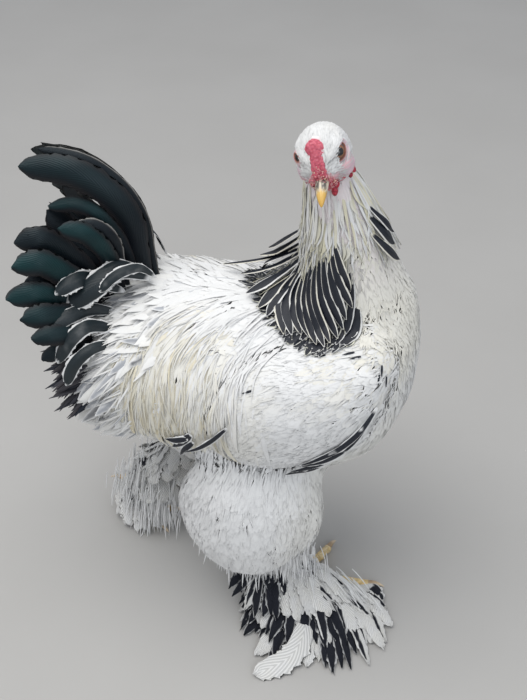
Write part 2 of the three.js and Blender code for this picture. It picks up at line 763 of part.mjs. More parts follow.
function add(name, body, colour, roughness) {
  if (body.isEmpty()) throw new Error(`${name} is empty: ${body.status()}`);
  const mesh = largest(body).getMesh();
  const positions = new Float32Array((mesh.vertProperties.length / mesh.numProp) * 3);
  for (let i = 0; i < positions.length / 3; i += 1) {
    for (let k = 0; k < 3; k += 1) positions[3 * i + k] = mesh.vertProperties[mesh.numProp * i + k];
  }
  const geometry = new THREE.BufferGeometry();
  geometry.setAttribute('position', new THREE.BufferAttribute(positions, 3));
  geometry.setIndex(new THREE.BufferAttribute(Uint32Array.from(mesh.triVerts), 1));
  const piece = new THREE.Mesh(geometry, new THREE.MeshStandardMaterial({ color: colour, roughness }));
  piece.name = name;
  group.add(piece);
}

const white = 0xe9e8e2;
const hackle = 0xb9b9ac;
const red = 0xb53a3f;
const horn = 0xd9b45a;
const black = 0x141a1c;
const iris = 0x9a4a20;
const sides = [['left', 1], ['right', -1]];

// Body
const torsoClear = torsoSolid(gap);
const tail = tailSolid().subtract(torsoClear);
add('tail', tail, black, 0.5);
const saddle = sides.flatMap(([, side]) => saddleFeathers(side));
for (const [name, side] of sides) {
  add(`wing_${name}`, join([wingShell(side, 0), ...wingFeathers(side)]).subtract(torsoClear), white, 0.9);
}
const wingsClear = join(sides.map(([, side]) => wingShell(side, gap)));
add('torso', join([torsoSolid(0), ...saddle]), white, 0.9);

// Head and neck
const skullClear = skullCore(gap);
const lobesClear = join([1, -1].flatMap((sign) => [wattleSolid(sign, gap), lobeSolid(sign, gap)]));
const neckBody = join([neckCore(0), ...hackleFeathers()]);
const neckCut = join([torsoClear, wingsClear, skullClear, lobesClear]);
add('neck', neckBody.subtract(neckCut), hackle, 0.9);
const eyesClear = join([eyeSolid(1, gap), eyeSolid(-1, gap)]);
const billClear = join([billSolid(true, gap), billSolid(false, gap)]);
const faceForms = [1, -1].flatMap((sign) => [...lids(sign), browSolid(sign)]);
const grooves = join([1, -1].map(mouthLine));
const headBody = join([skullCore(0), ...faceForms]).subtract(join([eyesClear, billClear, grooves]));
add('head', headBody, white, 0.9);
const lowerClear = billSolid(false, gap);
const nostrils = join([1, -1].map(nostrilCut));
add('bill_upper', billSolid(true, 0).subtract(join([lowerClear, nostrils])), horn, 0.5);
add('bill_lower', billSolid(false, 0), horn, 0.5);
add('comb', combSolid().subtract(skullClear).subtract(billClear), red, 0.6);
for (const [name, sign] of sides) {
  add(`eye_${name}`, eyeSolid(sign, 0), iris, 0.2);
  add(`wattle_${name}`, wattleSolid(sign, 0).subtract(join([skullClear, billClear])), red, 0.6);
  add(`earlobe_${name}`, lobeSolid(sign, 0).subtract(skullClear), red, 0.6);
}

// Legs
for (const [name, leg] of Object.entries(legs)) {
  const toeList = Object.values(leg.toes);
  const thighClear = thighSolid(leg.fluff, gap);
  const toesClear = join(toeList.map((points) => toeTube(leg, points, gap)));
  add(`thigh_${name}`, thighSolid(leg.fluff, 0).subtract(join([torsoClear, wingsClear])), white, 0.9);
  const shankVanes = legFeathers(leg.shankRoots, leg.shankTips, leg.shankCount, shankVane);
  const shank = join([shankCore(leg, 0), ...shankVanes]).subtract(join([thighClear, toesClear]));
  add(`shank_${name}`, shank, white, 0.7);
  const footVanes = legFeathers(leg.footRoots, leg.footTips, leg.footCount, footVane);
  const foot = join([...toeList.map((points) => toeTube(leg, points, 0)), ...footVanes]);
  const clawsClear = join(toeList.map((points) => clawSolid(points, gap)));
  const footCut = join([shankCore(leg, gap), clawsClear.subtract(toesClear)]);
  add(`foot_${name}`, cutFloor(foot.subtract(footCut)), white, 0.7);
  for (const [toe, points] of Object.entries(leg.toes)) {
    add(`claw_${toe}_${name}`, cutFloor(clawSolid(points, 0).subtract(toesClear)), horn, 0.5);
  }
}

// The frame's origin is the centre of the floor box
const box = new THREE.Box3().setFromObject(group);
group.position.set(-(box.min.x + box.max.x) / 2, -(box.min.y + box.max.y) / 2, -box.min.z);

export default group;
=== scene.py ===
import math

import bpy
import numpy as np
from mathutils import Matrix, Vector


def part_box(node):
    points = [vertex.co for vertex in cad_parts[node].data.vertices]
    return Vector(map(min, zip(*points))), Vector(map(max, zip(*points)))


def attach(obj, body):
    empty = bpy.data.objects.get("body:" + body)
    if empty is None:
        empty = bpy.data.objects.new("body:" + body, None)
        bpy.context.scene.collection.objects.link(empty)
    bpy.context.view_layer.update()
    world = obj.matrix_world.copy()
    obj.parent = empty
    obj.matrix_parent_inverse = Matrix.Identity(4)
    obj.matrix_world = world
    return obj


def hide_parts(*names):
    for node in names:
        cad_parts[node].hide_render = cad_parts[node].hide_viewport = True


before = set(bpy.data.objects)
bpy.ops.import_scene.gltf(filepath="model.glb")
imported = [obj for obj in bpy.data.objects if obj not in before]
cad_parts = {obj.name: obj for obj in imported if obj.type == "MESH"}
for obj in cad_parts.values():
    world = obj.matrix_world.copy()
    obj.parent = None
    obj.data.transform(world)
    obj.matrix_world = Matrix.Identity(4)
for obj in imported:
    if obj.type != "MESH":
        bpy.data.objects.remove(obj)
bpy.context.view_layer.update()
print("frame loaded")

# The bird is laid out in millimetres in a modelling frame of its own: +X the way it heads, +Y its left and
# the floor at height 0. Adding shift takes its points to the part's frame.
headPose = {"centre": (49, -32, 567), "yaw": -87, "pitch": -21.5, "roll": 16.5}
eyePlace = {"forward": 4.5, "side": 19.6, "up": 7.5, "radius": 5.6}


def unit(v):
    # each vector over its own length
    return v / np.maximum(np.linalg.norm(v, axis=-1, keepdims=True), 1e-9)


def turned(v, axis, angle):
    # Rodrigues: v cos a + (axis x v) sin a + axis (axis . v)(1 - cos a)
    c, s = np.cos(angle), np.sin(angle)
    return v * c + np.cross(axis, v) * s + axis * np.sum(axis * v, -1, keepdims=True) * (1 - c)


def headAxes(pose):
    # forward along the bill, then left and up, rolled about forward
    yaw, pitch = math.radians(pose["yaw"]), math.radians(pose["pitch"])
    ahead = np.array([math.cos(yaw) * math.cos(pitch), math.sin(yaw) * math.cos(pitch), math.sin(pitch)])
    left = turned(unit(np.cross([0, 0, 1], ahead)), ahead, math.radians(pose["roll"]))
    return np.array([ahead, left, np.cross(ahead, left)])


headBasis = headAxes(headPose)
headCentre = np.array(headPose["centre"], float)


def onHead(f, l, u):
    # head coordinates to the modelling frame
    f, l, u = np.broadcast_arrays(f, l, u)
    return headCentre + np.stack([f, l, u], -1) @ headBasis


def inHead(p):
    # modelling frame to head coordinates
    return (p - headCentre) @ headBasis.T


eyeLow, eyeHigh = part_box("eye_left")
eyeCentre = onHead(eyePlace["forward"], eyePlace["side"], eyePlace["up"])
shift = np.array((eyeLow + eyeHigh) / 2) * 1000 - eyeCentre   # modelling frame to the part's frame
rng = np.random.default_rng(11)   # every draw of the coat comes from here, in the order of the pieces


# Number helpers

def smooth(t, low, high):
    # 3t^2 - 2t^3 between low and high
    t = np.clip((t - low) / (high - low), 0, 1)
    return t * t * (3 - 2 * t)


def mix(a, b, t):
    # a at 0, b at 1; either may be a colour or a point given as a tuple
    a, b = np.asarray(a), np.asarray(b)
    return a + (b - a) * t


def readTable(knots, values, s):
    # cubic through the knots, its slope at each one taken from the two beside it
    knots, values, s = np.asarray(knots, float), np.asarray(values, float), np.asarray(s, float)
    last = len(knots) - 1
    before, after = np.maximum(np.arange(last + 1) - 1, 0), np.minimum(np.arange(last + 1) + 1, last)
    gaps = (knots[after] - knots[before])[(...,) + (None,) * (values.ndim - 1)]
    slopes = (values[after] - values[before]) / gaps
    i = np.clip(np.searchsorted(knots, s) - 1, 0, last - 1)
    span = knots[i + 1] - knots[i]
    t = np.clip((s - knots[i]) / span, 0, 1)
    if values.ndim > 1:
        t, span = t[..., None], span[..., None]
    return ((2 * t**3 - 3 * t**2 + 1) * values[i] + (t**3 - 2 * t**2 + t) * span * slopes[i]
            + (3 * t**2 - 2 * t**3) * values[i + 1] + (t**3 - t**2) * span * slopes[i + 1])


def lattice(i, seed):
    # a steady random number for each whole-numbered corner: fraction of a large sine
    return np.modf(np.abs(np.sin(i @ np.array([127.1, 311.7, 74.7]) + seed * 19.19) * 43758.5453))[0]


def cloud(p, size, seed=0):
    # value noise, 0 to 1: the corners' numbers blended smoothly across each cell
    q = p / size
    base = np.floor(q)
    t = q - base
    t = t * t * (3 - 2 * t)
    total = 0
    for corner in np.ndindex(2, 2, 2):
        weight = np.prod(np.where(np.array(corner) == 1, t, 1 - t), -1)
        total = total + weight * lattice(base + corner, seed)
    return total


# Forms of the body, the same named sizes as the solids

torsoRows = [
    # x, centre height, half width, rise to the back, drop to the belly
    (152, 334, 0, 0, 0),
    (141, 336, 60, 62, 64),
    (112, 326, 94, 85, 104),
    (60, 312, 109, 92, 118),
    (0, 302, 112, 97, 118),
    (-60, 302, 110, 97, 108),
    (-120, 306, 102, 93, 98),
    (-165, 302, 88, 82, 84),
    (-196, 292, 60, 54, 56),
    (-212, 284, 0, 0, 0),
]
skullRows = [
    # forward, centre height, half width, rise, drop
    (-35, 0, 0, 0, 0),
    (-27, 0, 17, 20, 17),
    (-10, 1, 26.5, 29, 26),
    (6, 1, 26, 26.5, 25),
    (19, -2, 19, 18, 19),
    (28, -5, 10, 8, 11),
    (32, -6, 0, 0, 0),
]
wing = {"shoulderX": 134, "length": 186, "rise": 27, "fall": 2, "spread": 43, "thick": 17}
neckAxis = [(86, 0, 345), (84, -2, 400), (77, -8, 455), (64, -14, 510), (52, -18, 552), (49, -24, 574)]
neckAxis = np.array(neckAxis, float)
neckSide = np.array([44, 58, 43, 30, 23, 15], float)
neckDeep = np.array([48, 56, 43, 32, 22, 15], float)
neckKnots = np.linspace(0, 1, len(neckAxis))
neckCaps = (15, 30)   # how far the neck's form rounds off above and below its axis
thighs = {
    "right": {"middle": (-14, -70, 150), "lean": 10, "sizes": (79, 92, 55)},
    "left": {"middle": (-84, 56, 176), "lean": 35, "sizes": (58, 88, 45)},
}


def shortfall(k0, k1):
    # distance to an ellipsoid: k0 (k0 - 1) / k1, with k0 the length of a point over the half sizes and k1
    # over their squares
    return k0 * (k0 - 1) / np.maximum(k1, 1e-6)


endShare = 0.985   # how far towards its ends a form's sections are read for distances


class StationForm:
    # rounded form through stations; knots are angles round a half circle, so both ends come out round
    def __init__(self, rows):
        rows = np.array(rows, float)
        self.middle = (rows[0, 0] + rows[-1, 0]) / 2
        self.half = (rows[0, 0] - rows[-1, 0]) / 2
        self.knots = np.arccos(np.clip((rows[:, 0] - self.middle) / self.half, -1, 1))
        self.columns = rows[:, 1:]

    def section(self, angle):
        return np.moveaxis(readTable(self.knots, self.columns, angle), -1, 0)

    def point(self, angle, turn, grow=0):
        # ellipse quarters set along the form
        height, wide, rise, drop = self.section(angle)
        lift = np.sin(turn)
        reach = np.where(lift > 0, rise, drop) + grow
        along = self.middle + (self.half + grow * np.sign(self.half)) * np.cos(angle)
        return np.stack([along, np.cos(turn) * (wide + grow), height + lift * reach], -1)

    def distance(self, p):
        # the ellipsoid's distance, with the half sizes of the section at p
        c = (p[..., 0] - self.middle) / self.half
        angle = np.arccos(np.clip(c, -endShare, endShare))
        height, wide, rise, drop = self.section(angle)
        s = np.sin(angle)
        up = p[..., 2] - height
        w, h = wide / s, np.where(up > 0, rise, drop) / s
        k0 = np.sqrt(c**2 + (p[..., 1] / w) ** 2 + (up / h) ** 2)
        k1 = np.sqrt((c / self.half) ** 2 + (p[..., 1] / w**2) ** 2 + (up / h**2) ** 2)
        return shortfall(k0, k1)

    def turnOf(self, p):
        # angle round the form in its stretched section, in degrees, the same on both sides
        c = (p[..., 0] - self.middle) / self.half
        height, wide, rise, drop = self.section(np.arccos(np.clip(c, -endShare, endShare)))
        up = p[..., 2] - height
        return np.degrees(np.arctan2(up / np.where(up > 0, rise, drop), np.abs(p[..., 1]) / wide))


torsoForm = StationForm(torsoRows)
skullForm = StationForm(skullRows)


def wingHeight(p):
    # thickness of the folded wing over the torso
    share = (wing["shoulderX"] - p[..., 0]) / wing["length"]
    inside = np.clip(share, 0.001, 0.999)
    fullness = np.minimum(1, 2.5 * inside**0.5) * (1 - inside**5) ** 0.5
    middle = mix(wing["rise"], -wing["fall"], inside)
    across = np.clip(np.abs(torsoForm.turnOf(p) - middle) / (wing["spread"] * fullness), 0, 1)
    dome = (1 - across**2) * (1 - inside**3) * (1 - (1 - inside) ** 9)
    return np.where((share > 0) & (share < 1), wing["thick"] * np.maximum(dome, 0) ** 0.6, 0)


def bodyDistance(p):
    return torsoForm.distance(p) - wingHeight(p)


def neckAt(s):
    # centre, half width and half depth of the neck at a share of its height
    return tuple(readTable(neckKnots, values, s) for values in (neckAxis, neckSide, neckDeep))


def neckShare(p):
    # share along the neck at a height
    return readTable(neckAxis[:, 2], neckKnots, np.clip(p[..., 2], neckAxis[0, 2], neckAxis[-1, 2]))


def neckDistance(p):
    centre, wide, deep = neckAt(neckShare(p))
    y, x = p[..., 1] - centre[..., 1], p[..., 0] - centre[..., 0]
    above, below = neckCaps
    over = np.maximum(p[..., 2] - neckAxis[-1, 2], 0) / above
    under = np.maximum(neckAxis[0, 2] - p[..., 2], 0) / below
    k0 = np.sqrt((y / wide) ** 2 + (x / deep) ** 2 + over**2 + under**2)
    k1 = np.sqrt((y / wide**2) ** 2 + (x / deep**2) ** 2 + (over / above) ** 2 + (under / below) ** 2)
    return shortfall(k0, k1)


def headDistance(p):
    return skullForm.distance(inHead(p))


def thighAxes(lean):
    a = math.radians(lean)
    axis, side = np.array([math.sin(a), 0, math.cos(a)]), np.array([0.0, 1, 0])
    return np.array([np.cross(side, axis), axis, side])


def thighDistance(p, thigh):
    q = (p - np.array(thigh["middle"])) @ thighAxes(thigh["lean"]).T
    sizes = np.array(thigh["sizes"], float)
    k0 = np.linalg.norm(q / sizes, axis=-1)
    k1 = np.linalg.norm(q / sizes**2, axis=-1)
    return shortfall(k0, k1)


def blended(a, b, soft):
    # smooth minimum: a round fillet of the given softness where two forms meet
    h = np.maximum(soft - np.abs(a - b), 0) / soft
    return np.minimum(a, b) - h * h * soft / 4


def trunkDistance(p):
    # torso, wings and neck, for feathers that pass over the thighs
    return blended(bodyDistance(p), neckDistance(p), 14)


def slopeOf(field, p, step=0.6):
    # value and unit slope of a field by forward differences
    value = field(p)
    rise = np.stack([field(p + step * axis) - value for axis in np.eye(3)], -1)
    return value, unit(rise)


# Feather meshes

sections = {
    # across the vane from -1 to 1, and up in thicknesses
    "strand": [(-1, 0), (0, 1), (1, 0)],
    "lock": [(-1, 0), (0, 1), (1, 0), (0, -1)],
    "small": [(-1, 0), (-0.45, 0.8), (0, 1.3), (0.45, 0.8), (1, 0), (0, -1)],
}


def quillSection(steps):
    # a broad vane: upper face edge to edge with a raised shaft, and the lower face back again
    a = np.linspace(-1, 1, steps)
    upper = [(x, (1 - x * x) * 0.6 + math.exp(-((x / 0.07) ** 2)) * 1.6) for x in a]
    lower = [(x, -(1 - x * x) * 0.6) for x in a[-2:0:-1]]
    return upper + lower


def tubeFaces(rings, sides):
    # quads between neighbouring rings, then a fan to a point before them and one to a point after them
    i, j = np.meshgrid(np.arange(rings - 1), np.arange(sides), indexing="ij")
    k = (j + 1) % sides
    here, ahead = i * sides, (i + 1) * sides
    quads = np.stack([here + j, here + k, ahead + k, ahead + j], -1).reshape(-1, 4)
    j, k = np.arange(sides), (np.arange(sides) + 1) % sides
    start, end, last = rings * sides, rings * sides + 1, (rings - 1) * sides
    fans = np.concatenate([np.stack([np.full(sides, start), k, j], -1),
                           np.stack([np.full(sides, end), last + j, last + k], -1)])
    return quads, fans


bakePatch = 0.003   # width of each vane's patch on the skin's unwrap
tipStrips = 13      # strips across a ragged tip
grown = []          # number of vanes in each piece so far


def vaneMesh(name, line, side, top, half, thick, section, cup, paint, rootUv, slotName, material, out,
             soft=0.8, fray=0.0, ragged=0.0):
    # Each ring of a vane is its centre + across * half width * side + lift * top, where lift is the rise in
    # thicknesses - cup * half width * across^2. line, side and top are (vanes, rings, 3), half is (vanes,
    # rings), and each end closes on a point. fray moves the edges in and out by a seeded share of the half
    # width; ragged moves the tip's strips to and fro. The normals of the upper face go from the vane's own
    # towards out, the coat's normal, by the share soft.
    section = np.array(section, float)
    count, rings = line.shape[:2]
    grown.append(count)
    thick, cup = np.broadcast_to(thick, half.shape), np.broadcast_to(cup, half.shape)
    across, rise = section[:, 0], section[:, 1]
    edge = np.random.default_rng(count).uniform(-1, 1, (count, rings, len(section)))
    reach = half[..., None] * across * (1 + fray * edge * (np.abs(across) > 0.9))
    lift = rise * thick[..., None] - cup[..., None] * half[..., None] * across**2
    ring = line[:, :, None] + side[:, :, None] * reach[..., None] + top[:, :, None] * lift[..., None]
    first, ahead = unit(line[:, 1] - line[:, 0]), unit(line[:, -1] - line[:, -2])
    if ragged:
        strips = np.linspace(-1, 1, tipStrips)
        hat = np.clip(1 - np.abs(across[:, None] - strips) * 6, 0, 1)
        push = np.random.default_rng(count + 1).normal(0, ragged, (count, tipStrips)) @ hat.T
        late = smooth(np.linspace(0, 1, rings), 0.8, 1.0)
        ring = ring + ahead[:, None, None] * (push[:, None] * late[:, None])[..., None]
    sides = len(section)
    body = ring.reshape(count, rings * sides, 3)
    root = line[:, 0] - first * half[:, :1] * 0.4
    tip = line[:, -1] + ahead * half[:, -1:] * 0.9
    points = np.concatenate([body, root[:, None], tip[:, None]], 1)
    own = unit(top[:, :, None] + side[:, :, None] * (across * (0.35 + 2 * cup[..., None]))[..., None])
    agree = soft * smooth(np.sum(top * out, -1), 0.3, 0.75)[:, :, None, None]
    facing = np.where(rise[:, None] < 0, -top[:, :, None], unit(mix(own, out[:, :, None], agree)))
    facing = np.concatenate([facing.reshape(count, rings * sides, 3), out[:, :1], out[:, -1:]], 1)
    perVane = points.shape[1]
    quads, fans = tubeFaces(rings, sides)
    corner = np.concatenate([quads.ravel(), fans.ravel()])
    sizes = np.concatenate([np.full(len(quads), 4), np.full(len(fans), 3)])
    starts = np.concatenate([[0], np.cumsum(sizes)[:-1]])
    loops = (np.arange(count)[:, None] * perVane + corner).ravel()
    loopStart = (np.arange(count)[:, None] * len(corner) + starts).ravel()
    # share along and place across, for the vane's own map and its paint
    run = np.cumsum(np.linalg.norm(np.diff(line, axis=1, prepend=line[:, :1]), axis=-1), axis=1)
    along = np.repeat(0.02 + 0.96 * run / run[:, -1:], sides, axis=1)
    v = np.concatenate([along, np.zeros((count, 1)), np.ones((count, 1))], 1)
    u = np.broadcast_to(np.concatenate([np.tile(across, rings), [0, 0]]), v.shape)
    colours = paint(u, v, points)
    mesh = bpy.data.meshes.new(name)
    mesh.vertices.add(count * perVane)
    mesh.vertices.foreach_set("co", ((points.reshape(-1, 3) + shift) / 1000).astype(np.float32).ravel())
    mesh.loops.add(len(loops))
    mesh.loops.foreach_set("vertex_index", loops.astype(np.int32))
    mesh.polygons.add(count * len(sizes))
    mesh.polygons.foreach_set("loop_start", loopStart.astype(np.int32))
    mesh.polygons.foreach_set("use_smooth", np.ones(count * len(sizes), bool))
    layTint(mesh, colours.reshape(count * perVane, -1))
    normal = mesh.attributes.new("custom_normal", "FLOAT_VECTOR", "POINT")
    normal.data.foreach_set("vector", facing.astype(np.float32).ravel())
    own = np.stack([(u + 1) / 2, v], -1)
    place = rootUv[:, None] + (own - 0.5) * bakePatch
    for mapName, values in (("feather", np.broadcast_to(own, (count, perVane, 2))), ("OFBake", place)):
        layer = mesh.uv_layers.new(name=mapName)
        layer.data.foreach_set("uv", values.reshape(-1, 2)[loops].astype(np.float32).ravel())
    return finishPiece(mesh, name, material, slotName)


def layTint(mesh, colours):
    # a colour for every vertex, with alpha where it's given
    tint = mesh.attributes.new("tint", "FLOAT_COLOR", "POINT")
    rgba = np.ones((len(colours), 4), np.float32)
    rgba[:, :colours.shape[-1]] = np.clip(colours, 0, 1)
    tint.data.foreach_set("color", rgba.ravel())


def finishPiece(mesh, name, material, slotName, *nodes):
    # the mesh as a piece of the one body, in place of the named solids; the slot's name is not used
    mesh.update(calc_edges=True)
    mesh.validate()
    piece = bpy.data.objects.new(name, mesh)
    bpy.context.scene.collection.objects.link(piece)
    mesh.materials.append(material)
    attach(piece, "root")
    if nodes:
        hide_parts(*nodes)
    return piece


def frameLines(line, out, roll):
    # side and top directions along each line from the way out of the body, rolled about the line
    ahead = unit(np.gradient(line, axis=1))
    side = turned(unit(np.cross(ahead, out)), ahead, roll[:, None, None])
    return side, unit(np.cross(side, ahead))


def lumpy(field, height, reach):
    # a form with soft lumps: noise of a reach along each axis, of a height above and below it
    reach = np.array(reach, float)
    return lambda p: field(p) - height * (1.3 * cloud(p, reach, 4) + 0.7 * cloud(p, reach * 0.45, 5) - 1)


def growLines(root, length, rings, field, lean, sink, lift, ease, stick, wander):
    # Lines that step along the lie, each step drawn to its height over the form: sink below it at the root,
    # lift over it at the tip, by the power ease of the share between
    line, out = [], []
    p = root.copy()
    step = length / (rings - 1)
    aside = rng.normal(0, wander, (len(root), 1))
    for k in range(rings):
        s = k / (rings - 1)
        d, n = slopeOf(field, p)
        wanted = -sink + (sink + lift) * s**ease
        pull = 1 if k < 2 else stick
        p = p + n * ((wanted - d) * pull)[:, None]
        line.append(p)
        out.append(n)
        g = lean(p, n)
        along = unit(g - n * np.sum(g * n, -1, keepdims=True))
        along = unit(along + np.cross(n, along) * aside)
        p = p + along * step[:, None]
    return np.stack(line, 1), np.stack(out, 1)


def dragLines(root, end, rings, field, sink, lift, risen, passes=5):
    # Straight lines from root to end, every point then drawn to its height over the form
    s = np.linspace(0, 1, rings)[None, :, None]
    p = mix(root[:, None], end[:, None], s)
    wanted = mix(-sink[:, None], lift[:, None] * s[..., 0], smooth(s[..., 0], 0, risen))
    for _ in range(passes):
        d, n = slopeOf(field, p)
        gap = wanted - d
        p = p + n * (gap * np.where(gap < 0, 0.75, 1))[..., None]
    return p, slopeOf(field, p)[1]


shapes = {
    # half width along a vane as share of the length and of the width
    "round": ([0, 0.15, 0.4, 0.7, 0.88, 1], [0.3, 0.62, 0.92, 1, 0.82, 0.34]),
    "point": ([0, 0.15, 0.4, 0.65, 0.85, 1], [0.45, 0.85, 1, 0.85, 0.5, 0.12]),
    "cape": ([0, 0.15, 0.4, 0.7, 0.88, 1], [0.35, 0.65, 0.92, 1, 0.7, 0.14]),
    "tongue": ([0, 0.12, 0.35, 0.6, 0.8, 0.9, 0.95, 0.98, 1],
               [0.2, 0.5, 0.86, 1, 0.99, 0.9, 0.74, 0.52, 0.22]),
    "blade": ([0, 0.12, 0.35, 0.6, 0.8, 0.92, 1], [0.3, 0.6, 0.95, 1, 0.8, 0.5, 0.16]),
    "hair": ([0, 0.2, 0.5, 0.8, 1], [0.7, 1, 0.9, 0.6, 0.12]),
    "sickle": ([0, 0.12, 0.35, 0.6, 0.8, 0.93, 1], [0.25, 0.6, 0.95, 1, 0.85, 0.58, 0.2]),
}


def widths(shape, width, share):
    # half widths of vanes at shares along them, or at that many even steps
    knots, values = shapes[shape]
    share = np.linspace(0, 1, share) if np.ndim(share) == 0 else share
    return width[:, None] / 2 * readTable(knots, values, share)[None]


def runAlong(points):
    # length of a row of points up to each of them
    return np.concatenate([[0], np.cumsum(np.linalg.norm(np.diff(points, axis=0), axis=1))])


rootSet = {"fine": 160, "stray": 0.22}   # steps for measuring a surface, and stray of roots in spacings


def rowsOver(point, uRange, vRange, spacing, squeeze=1.0):
    # Staggered roots over a surface of two parameters: rows a spacing apart, and so are points in each row
    fine, stray = rootSet["fine"], rootSet["stray"] * spacing
    uFine, vFine = np.linspace(*uRange, fine), np.linspace(*vRange, fine)
    run = runAlong(point(uFine, np.full(fine, (vRange[0] + vRange[1]) / 2)))
    rows = max(2, int(run[-1] / (spacing * squeeze)))
    us, vs = [], []
    for u in np.interp((np.arange(rows) + 0.5) / rows * run[-1], run, uFine):
        around = runAlong(point(np.full(fine, u), vFine))
        number = max(1, int(around[-1] / spacing))
        places = (np.arange(number) + rng.random()) / number * around[-1]
        places = np.clip(places + rng.normal(0, stray, number), 0, around[-1])
        vs.append(np.interp(places, around, vFine))
        us.append(u + rng.normal(0, stray / max(run[-1], 1e-6), number) * (uRange[1] - uRange[0]))
    return np.clip(np.concatenate(us), min(uRange), max(uRange)), np.concatenate(vs)


def onUnwrap(u, v, uRange, vRange, tile=(0.01, 0.01, 0.99, 0.99)):
    # the form's own two parameters laid flat in a tile of the map
    a = (u - uRange[0]) / (uRange[1] - uRange[0])
    b = (v - vRange[0]) / (vRange[1] - vRange[0])
    return np.stack([tile[0] + a * (tile[2] - tile[0]), tile[1] + b * (tile[3] - tile[1])], -1)


def onForm(root, field, depth):
    # each root moved along the slope to its depth under the form
    d, n = slopeOf(field, root)
    return root - n * (d + depth)[:, None]


def coatPiece(name, roots, size, lean, paint, material, slotName="plumage_white", field=trunkDistance):
    # Feathers from roots that are moved to their depth under the field's surface. size: length, width,
    # rings, sink, lift, section and shape, and where they differ from the defaults read below: depth of the
    # roots, spread of lengths, ease, stick, wander, tilt, roll, thickness, cup, level, straightness,
    # softness and fray
    root, uv = onForm(roots[0], field, size.get("depth", size["sink"])), roots[1]
    count = len(root)
    vary = lambda value, share: value * np.clip(rng.normal(1, share, count), 0.5, 1.6)
    length = vary(size["length"], size.get("vary", 0.15))
    width = vary(size["width"], 0.15)
    lift = np.full(count, size["lift"]) * rng.uniform(0.4, 1.3, count)
    if "lumps" in size:
        field = lumpy(field, *size["lumps"])
    line, out = growLines(root, length, size["rings"], field, lean, np.full(count, size["sink"]), lift,
                          size.get("ease", 1.0), size.get("stick", 0.95), size.get("wander", 0.1))
    # a line that turns back on itself in a crease would make a twisted vane, so it is left out
    step = unit(np.diff(line, axis=1))
    calm = np.min(np.sum(step[:, 1:] * step[:, :-1], -1), axis=1) > size.get("straight", 0.35)
    root, uv, line, out, width = root[calm], uv[calm], line[calm], out[calm], width[calm]
    roll = rng.normal(size.get("tilt", 0), size.get("roll", 0.12), len(root))
    side, top = frameLines(line, out, roll)
    half = widths(size["shape"], width, size["rings"])
    # the coat's normal is kept from pointing far down, so strands on the underside aren't lit from behind
    out = unit(np.concatenate([out[..., :2], np.maximum(out[..., 2:], size.get("level", -0.2))], -1))
    vaneMesh(name, line, side, top, half, size.get("thick", 0.3), sections[size["section"]],
             size.get("cup", 0.25), lambda u, v, p: paint(u, v, p, root), uv, slotName, material, out,
             size.get("soft", 0.8), size.get("fray", 0.0))


# Materials

def nodeMaterial(name, build, numbers, **sockets):
    # build draws the material's nodes by its own numbers; the sockets are the main shader's
    material = bpy.data.materials.new(name)
    material.use_nodes = True
    tree = material.node_tree
    shader = tree.nodes["Principled BSDF"]
    for socket, value in sockets.items():
        shader.inputs[socket.replace("_", " ")].default_value = value
    build(tree, shader, **numbers)
    return material


def addNode(tree, kind, feeds, **settings):
    # a node with its settings; feeds gives the socket that goes into each input
    node = tree.nodes.new("ShaderNode" + kind)
    for key, value in settings.items():
        socket = key.replace("_", " ")
        if socket in node.inputs:
            node.inputs[socket].default_value = value
        else:
            setattr(node, key, value)
    for into, source in feeds.items():
        tree.links.new(source, node.inputs[into])
    return node


def mathNode(tree, operation, *values):
    # one step of arithmetic on sockets or numbers
    node = addNode(tree, "Math", {}, operation=operation)
    for k, value in enumerate(values):
        if isinstance(value, (int, float)):
            node.inputs[k].default_value = value
        else:
            tree.links.new(value, node.inputs[k])
    return node.outputs[0]


def softStep(tree, value, low, high):
    step = addNode(tree, "MapRange", {"Value": value}, interpolation_type="SMOOTHSTEP", From_Min=low,
                   From_Max=high)
    return step.outputs[0]


def vaneMap(tree):
    # the painted tint, the place on the vane's own map, the distance off its shaft and the share along it
    tint = addNode(tree, "Attribute", {}, attribute_name="tint")
    place = addNode(tree, "UVMap", {}, uv_map="feather").outputs["UV"]
    part = addNode(tree, "SeparateXYZ", {0: place})
    aside = mathNode(tree, "ABSOLUTE", mathNode(tree, "SUBTRACT", part.outputs["X"], 0.5))
    return tint, place, aside, part.outputs["Y"]


def rippled(tree, shader, colour, slant, shade, depth, **wave):
    # a wave that runs with slant, as shade over the colour and as bump
    place = addNode(tree, "CombineXYZ", {"X": slant})
    ripple = addNode(tree, "TexWave", {"Vector": place.outputs[0]}, Detail=2.0, **wave).outputs["Fac"]
    darker = addNode(tree, "MapRange", {"Value": ripple}, To_Min=1 - shade)
    blend = addNode(tree, "Mix", {}, data_type="RGBA", blend_type="MULTIPLY", Factor=1)
    tree.links.new(colour, blend.inputs[6])
    tree.links.new(darker.outputs[0], blend.inputs[7])
    tree.links.new(blend.outputs[2], shader.inputs["Base Color"])
    bumped(tree, shader, ripple, depth, 0.0004)


def bumped(tree, shader, height, depth, distance):
    bump = addNode(tree, "Bump", {"Height": height}, Strength=depth, Distance=distance)
    tree.links.new(bump.outputs["Normal"], shader.inputs["Normal"])


def barbs(tree, shader, density, depth, shade, slope=0.5):
    # fine barbs that slant off the shaft to both edges by the slope, over the painted tint
    tint, _, aside, along = vaneMap(tree)
    slant = mathNode(tree, "MULTIPLY_ADD", aside, -slope, along)
    rippled(tree, shader, tint.outputs["Color"], slant, shade, depth, Scale=density, Distortion=1.2,
            Detail_Scale=2.5)


